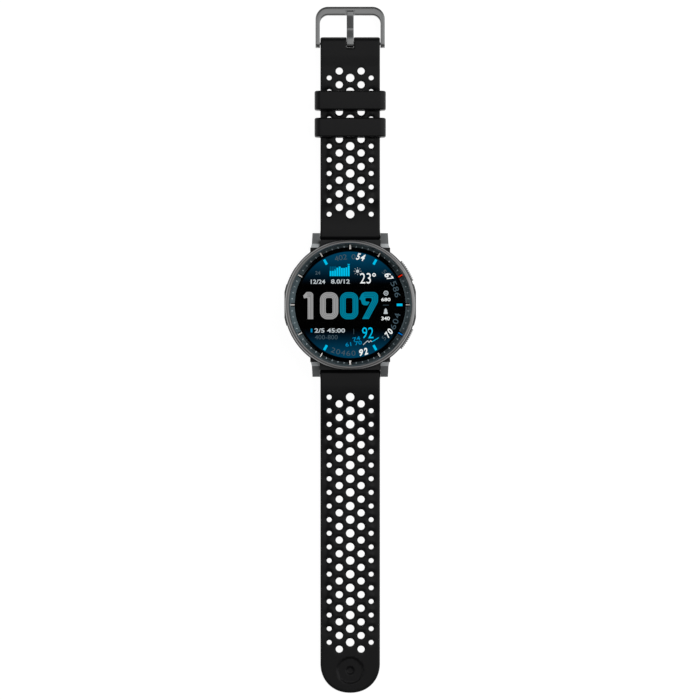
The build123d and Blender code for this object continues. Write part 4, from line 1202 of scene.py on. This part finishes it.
class WATCH_OT_chapter_ring(bpy.types.Operator):
    """Turns the chapter ring and prints its hour and minute marks"""

    bl_idname = "watch.chapter_ring"
    bl_label = "Chapter Ring"

    def execute(self, context):
        dish = np.linspace(CHAPTER_INNER, CHAPTER_RIM, 13)
        section = [(radius, chapter_height(radius)) for radius in dish]
        section += [(CHAPTER_OUTER, GLASS_BOTTOM), (CHAPTER_OUTER, DISPLAY_TOP)]
        section.append((CHAPTER_INNER, DISPLAY_TOP))
        ring = Shape()
        ring.turned(section)
        ring.build("chapter_dish", self.dish_finish(), "case", "chapter_ring", ("chapter_ring",), 50.0)
        lands, plain, wide, red, blue, dots = (Shape() for kind in range(6))
        for hour in range(12):
            land_width, mark_width = (1.6, 0.68) if hour in (0, 6) else (1.25, 0.46)
            shape = {0: wide, 6: wide, 2: red, 4: blue}.get(hour, plain)
            self.mark(lands, hour * 30, CHAPTER_INNER, CHAPTER_OUTER - 0.02, land_width, 0.012)
            self.mark(shape, hour * 30, CHAPTER_INNER + 0.05, CHAPTER_OUTER - 0.1, mark_width, 0.05)
        for minute in range(60):
            if minute % 5:
                self.mark(dots, minute * 6, *MINUTE_SPAN, 0.28, 0.06)
        pieces = (
            ("hour_lands", lands, moulded("chapter_black", linear(3, 3, 4), 0.7, 0.0)),
            ("hour_marks", plain, moulded("hour_silver", linear(190, 188, 184))),
            ("hour_marks_wide", wide, moulded("hour_pale", linear(200, 198, 194))),
            # The red and blue marks are printed, but are given a painted glow: they emit their colour instead
            # of being lit
            ("hour_mark_red", red, lit("hour_red_painted_glow", linear(222, 34, 0))),
            ("hour_mark_blue", blue, lit("hour_blue_painted_glow", linear(0, 104, 186))),
            ("minute_dots", dots, moulded("minute_grey", linear(150, 162, 168))),
        )
        for name, shape, material in pieces:
            shape.build(name, material, "case", "chapter_ring")
        return {"FINISHED"}

    def mark(self, shape, clock, start, end, width, lift):
        """A raised bar that follows the dish outward at a clock angle."""
        outward = Vector(clock_point(1, clock))
        across = Vector((outward.y, -outward.x)) * (width / 2)
        rings = []
        for index in range(7):
            radius = start + (end - start) * index / 6
            base = chapter_height(radius) - 0.08
            height = min(chapter_height(radius) + lift, GLASS_BOTTOM - 0.004)
            left, right = outward * radius - across, outward * radius + across
            rings.append([(*left, base), (*left, height), (*right, height), (*right, base)])
        shape.loft(rings, capped=True)

    def dish_finish(self):
        """Dark teal lacquer over metal, with fine turning lines, and painted shade that darkens the inner
        arcs at 12 and 6.
        """
        finish = new_finish("chapter_lacquer")
        radius = finish.radius()
        turning = finish.math("SINE", radius * 60000.0) * 0.5 + 0.5
        along = finish.axes()[1]
        # Painted shade: the inner dish goes near black towards 12 and 6, standing in for the dark it reflects
        # there
        painted_shade_arcs = (1 - radius.ease(0.021, 0.0213)) * (abs(along) / radius).ease(0.35, 0.8)
        lacquer = finish.mix(finish.noise(4.0), linear(80, 92, 97), linear(89, 103, 107))
        return finish.dress({
            "Base Color": finish.mix(painted_shade_arcs, lacquer, linear(4, 5, 6)),
            "Roughness": turning * 0.06 + 0.3,
            "Normal": finish.bump(turning, 0.001, 0.2),
            "Metallic": 1.0,
        })


class WATCH_OT_display(bpy.types.Operator):
    """Lights the display and draws its marks"""

    bl_idname = "watch.display"
    bl_label = "Display"

    def execute(self, context):
        settings = context.scene.watch_dial
        paint(display_finish(settings.glow), "display_panel")
        for name, colour, marks in dial_marks(settings):
            marks.build(name, lit(name, colour))
        return {"FINISHED"}


FACET_START, FACET_END = 20.97, 22.47  # the lugs' steep facets, measured from the middle of the case
FACET_FOOT = 8.3  # level at which they end


class WATCH_OT_lugs(bpy.types.Operator):
    """Rounds the edges of the lugs"""

    bl_idname = "watch.lugs"
    bl_label = "Lugs"

    def execute(self, context):
        settings = context.scene.watch_metal
        metal = self.lug_finish(settings)
        for node in ("lug_upper_left", "lug_upper_right", "lug_lower_left", "lug_lower_right"):
            softened(node, node + "_finished", settings.edge / MM, metal, 3)
        return {"FINISHED"}

    def lug_finish(self, settings):
        """Blasted metal, with a painted highlight on the steep facet under the case edge."""
        finish = new_finish("lug_blasted")
        along, up = finish.axes()[1:]
        reach = abs(along)
        # Painted highlight: the steep facet gets a much brighter base colour in place of the light it catches
        painted_facet_highlight = reach.ease(FACET_START * MM, (FACET_START + 0.12) * MM)
        painted_facet_highlight = painted_facet_highlight * (1 - reach.ease((FACET_END - 0.06) * MM, (FACET_END + 0.1) * MM))
        painted_facet_highlight = painted_facet_highlight * up.ease((FACET_FOOT - 0.3) * MM, (FACET_FOOT - 0.1) * MM)
        cloud = finish.noise(0.5)
        bright = scaled(settings.lugs, 3.5)
        return finish.dress({
            "Base Color": finish.mix(painted_facet_highlight * (cloud * 0.2 + 0.9), settings.lugs, bright),
            "Roughness": cloud * 0.1 + settings.roughness + 0.12,
            "Normal": finish.bump(finish.noise(0.12), 0.003, 0.3),
            "Metallic": 0.4,
        })


class WATCH_OT_buttons(bpy.types.Operator):
    """Rounds the edges of the buttons"""

    bl_idname = "watch.buttons"
    bl_label = "Buttons"

    def execute(self, context):
        settings = context.scene.watch_metal
        metal = satin_metal("button_satin", scaled(settings.bezel, 0.95), settings.roughness)
        for node in ("button_upper", "button_lower"):
            softened(node, node + "_finished", 0.06, metal)
        return {"FINISHED"}


class WATCH_OT_straps(bpy.types.Operator):
    """Moulds the two perforated straps"""

    bl_idname = "watch.straps"
    bl_label = "Straps"

    def execute(self, context):
        settings = context.scene.watch_strap
        skin = rubber("strap_skin", settings.colour)
        for plan in (StrapPlan("strap_long", 33.97, 19), StrapPlan("strap_short", 33.5, 11)):
            node = plan.node
            shape = build_strap(plan, settings)
            shape.build(node + "_moulded", skin, body_of_node(node), "strap_rubber", (node,), 50.0)
        return {"FINISHED"}


class WATCH_OT_keepers(bpy.types.Operator):
    """Moulds the two strap keepers"""

    bl_idname = "watch.keepers"
    bl_label = "Keepers"

    def execute(self, context):
        settings = context.scene.watch_strap
        skin = rubber("keeper_skin", settings.colour)
        for node in ("keeper_upper", "keeper_lower"):
            shape = build_keeper(node)
            shape.build(node + "_moulded", skin, node, "strap_rubber", (node,), 50.0)
        return {"FINISHED"}
# Heights of the tongue, first at distances from the bar and then from the tip
TONGUE_TOP = (
    (0.1, 4.05), (1.9, 4.05), (2.4, 4.13), (4.3, 4.6), (4.8, 4.71), (5.2, 4.75), (5.7, 4.69), (6.4, 4.47),
)
TONGUE_TOP_END = ((2.2, 3.47), (1.7, 3.36), (0.25, 3.3), (0, 3.12))
TONGUE_UNDER = ((0.1, 3.1), (1.0, 2.98), (2.0, 3.2), (4.8, 3.8), (5.3, 3.85), (6.4, 3.6))
TONGUE_UNDER_END = ((2.2, 2.62), (1.8, 2.55), (0.3, 2.55), (0, 2.62))


def level_at(profile, place):
    """Height at a place along a profile of (place, height) points."""
    places, heights = zip(*profile)
    return float(np.interp(place, places, heights))
class WATCH_OT_buckle(bpy.types.Operator):
    """Forges the buckle frame and its tongue, and finishes the bars"""

    bl_idname = "watch.buckle"
    bl_label = "Buckle and Bars"

    def execute(self, context):
        settings = context.scene.watch_metal
        metal = satin_metal("buckle_satin", settings.buckle, settings.roughness, (0.15, 1, 1))
        low, high = node_box("buckle_frame")
        bar = sum(node_box("buckle_bar"), Vector((0, 0, 0))) / 2
        tip = node_box("buckle_tongue")[1].y
        parts = ("buckle_frame_forged", metal, "buckle", "buckle_metal", ("buckle_frame",))
        frame_piece = self.frame_shape(high.x, high.y, bar).build(*parts, bevel=0.06)
        notch = Shape()
        notch.prism(rectangle(-1.8, bar.y, 1.8, tip + 0.22), 2.5, 6.0)
        carve(frame_piece, notch)
        parts = ("buckle_tongue_forged", metal, "tongue", "buckle_metal", ("buckle_tongue",))
        self.tongue_shape(tip, bar).build(*parts, 40.0)
        steel = satin_metal("bar_steel_turned", linear(150, 150, 152), 0.22, (0.1, 1, 1))
        paint(steel, "buckle_bar", "spring_bar_long", "spring_bar_short")
        paint(steel, "release_pin_long", "release_pin_short")
        return {"FINISHED"}

    def frame_shape(self, half, end, bar):
        """The U of the frame, swept from ear to ear, with a wide outer and a narrow inner chamfer."""
        ear, arm, crossbar = 1.55, 1.6, 3.1
        outer = self.u_path(half, end, 4.6, bar.y, ear)
        inner = self.u_path(half - arm, end - crossbar, 3.1, bar.y, ear)
        rise = ((bar.y, bar.z + ear), (end - 2.5, 3.42), (end, 3.36))
        fall = ((bar.y, bar.z - ear), (end - 4.1, 0.1), (end, 0.1))
        sections = []
        for (ox, oy), (ix, iy) in zip(outer, inner):
            width = math.hypot(ox - ix, oy - iy)
            spread = min(max((width - arm) / 1.2, 0), 1)
            wide, narrow = 0.34 + 0.36 * spread, 0.3 + 0.15 * spread
            marks = [(0, 0.62 * wide, 1), (wide, 0, 1), (width / 2, 0, 1), (width - narrow, 0, 1)]
            marks += [(width, 0.6 * narrow, 1), (width, 0.12, -1), (width - 0.25, 0, -1)]
            marks += [(0.25, 0, -1), (0, 0.12, -1)]
            section = []
            for gap, drop, side in marks:
                x, y = ox + (ix - ox) * gap / width, oy + (iy - oy) * gap / width
                if y < bar.y:
                    level = side * math.sqrt(max(ear**2 - (y - bar.y) ** 2, 0.0))
                else:
                    level = level_at(rise if side > 0 else fall, y) - bar.z
                section.append((x, y, bar.z + level * (1 - min(drop / abs(level), 0.8))))
            sections.append(section)
        shape = Shape()
        shape.loft(sections, capped=True)
        return shape

    def u_path(self, half, end, corner, start, ear):
        """Half of the U's plan and its mirror image, with matching points for the two outlines."""
        path = [(half, start - ear * math.sin(math.radians(86) * (1 - step / 8))) for step in range(9)]
        path += [(half, start + (end - corner - start) * step / 8) for step in range(1, 9)]
        path += [(half - inset, end - back) for inset, back in quarter_turn(corner, 12)[1:]]
        path += [((half - corner) * (1 - step / 8), end) for step in range(1, 9)]
        return path + [(-x, y) for x, y in reversed(path[:-1])]

    def tongue_shape(self, tip, bar):
        """A humped tongue that lies flat at its tip and its root, and the eye round the bar."""
        half = 1.3
        top = [(bar.y + gap, height) for gap, height in TONGUE_TOP]
        top += [(tip - gap, height) for gap, height in TONGUE_TOP_END]
        under = [(bar.y + gap, height) for gap, height in TONGUE_UNDER]
        under += [(tip - gap, height) for gap, height in TONGUE_UNDER_END]
        places = np.concatenate([np.linspace(bar.y + 0.1, tip, 60), [place for place, height in top]])
        sections = []
        for y in np.unique(np.round(places, 3)):
            width = half - 0.25 * max(0.0, 1 - (tip - y) / 0.3) ** 2
            corners = rectangle(-width, level_at(under, y), width, level_at(top, y))
            sections.append([(x, y, z) for x, z in rounded(corners, [0.12, 0.12, 0.28, 0.28], 5)])
        shape = Shape()
        shape.loft(sections, capped=True)
        loop = rounded(rectangle(-half, 0.86, half, 1.35), [0.05, 0.05, 0.2, 0.2], 4)
        eye = [[(x, bar.y + r * y, bar.z + r * z) for x, r in loop] for y, z in circle((0, 0), 1, 40)]
        shape.loft(eye, closed=True)
        return shape


class WATCH_OT_back(bpy.types.Operator):
    """Finishes the case back, the sensor window, its screws and contacts"""

    bl_idname = "watch.back"
    bl_label = "Case Back"

    def execute(self, context):
        paint(moulded("back_shell", linear(34, 35, 37), 0.42), "case_back")
        paint(window_finish(), "sensor_window")
        paint(satin_metal("screw_steel_dark", linear(120, 120, 122), 0.3), "case_back_screws")
        paint(satin_metal("contact_gilt", linear(222, 178, 96), 0.25), "charging_contacts")
        paint(moulded("seal_silicone", linear(40, 42, 44), 0.6), "bezel_gasket", "case_back_gasket")
        paint(circuit_finish("sensor_mask", linear(18, 22, 22), linear(70, 70, 60)), "optical_sensor_board")
        paint(moulded("led_phosphor", linear(206, 214, 120), 0.4), "sensor_leds")
        silicon = circuit_finish("photodiode_silicon", linear(36, 40, 60), linear(120, 124, 130))
        paint(silicon, "photodiodes")
        return {"FINISHED"}


class WATCH_OT_inside(bpy.types.Operator):
    """Finishes the parts inside the case"""

    bl_idname = "watch.inside"
    bl_label = "Inside"

    def execute(self, context):
        paint(circuit_finish("board_mask", linear(20, 62, 46), linear(60, 116, 84)), "main_board")
        film = circuit_finish("flex_film", linear(120, 76, 30), linear(170, 118, 56))
        paint(film, "display_flex", "sensor_flex")
        paint(satin_metal("shield_tin", linear(190, 190, 188), 0.3), "shield_cans")
        paint(satin_metal("battery_foil", linear(170, 172, 176), 0.38), "battery")
        paint(satin_metal("motor_steel", linear(176, 176, 174), 0.28), "vibration_motor")
        paint(moulded("inner_moulding", linear(44, 46, 50), 0.55), "inner_frame", "antenna_ring", "speaker")
        paint(moulded("can_cover", linear(60, 62, 64), 0.5), "barometer", "microphone")
        paint(moulded("switch_body", linear(52, 54, 56), 0.5), "button_switch_upper", "button_switch_lower")
        paint(moulded("stem_seal", linear(36, 38, 40), 0.6), "button_seal_upper", "button_seal_lower")
        clips = satin_metal("clip_steel", linear(150, 150, 152), 0.25)
        paint(clips, "button_clip_upper", "button_clip_lower")
        return {"FINISHED"}


STEPS = (
    WATCH_OT_stage,
    WATCH_OT_case,
    WATCH_OT_bezel,
    WATCH_OT_chapter_ring,
    WATCH_OT_display,
    WATCH_OT_lugs,
    WATCH_OT_buttons,
    WATCH_OT_straps,
    WATCH_OT_keepers,
    WATCH_OT_buckle,
    WATCH_OT_back,
    WATCH_OT_inside,
)


class WATCH_PT_looks(bpy.types.Panel):
    """Sidebar panel with the watch's sizes, colours and pieces"""

    bl_idname = "WATCH_PT_looks"
    bl_label = "Running Watch"
    bl_space_type = "VIEW_3D"
    bl_region_type = "UI"
    bl_category = "Watch"

    def draw(self, context):
        layout = self.layout
        for group in SETTINGS:
            settings = getattr(context.scene, group)
            box = layout.box()
            for name in settings.__annotations__:
                box.prop(settings, name)
        for step in STEPS:
            layout.operator(step.bl_idname)


SETTINGS = {
    "watch_stage": WatchStageSettings,
    "watch_strap": WatchStrapSettings,
    "watch_metal": WatchMetalSettings,
    "watch_dial": WatchDialSettings,
}


def register():
    for settings in SETTINGS.values():
        bpy.utils.register_class(settings)
    for name, settings in SETTINGS.items():
        setattr(bpy.types.Scene, name, PointerProperty(type=settings))
    for step in STEPS:
        bpy.utils.register_class(step)
    bpy.utils.register_class(WATCH_PT_looks)


def unregister():
    bpy.utils.unregister_class(WATCH_PT_looks)
    for step in reversed(STEPS):
        bpy.utils.unregister_class(step)
    for name, settings in SETTINGS.items():
        delattr(bpy.types.Scene, name)
        bpy.utils.unregister_class(settings)


def main():
    register()
    for step in STEPS:
        group, name = step.bl_idname.split(".")
        getattr(getattr(bpy.ops, group), name)()


if __name__ == "__main__":
    main()
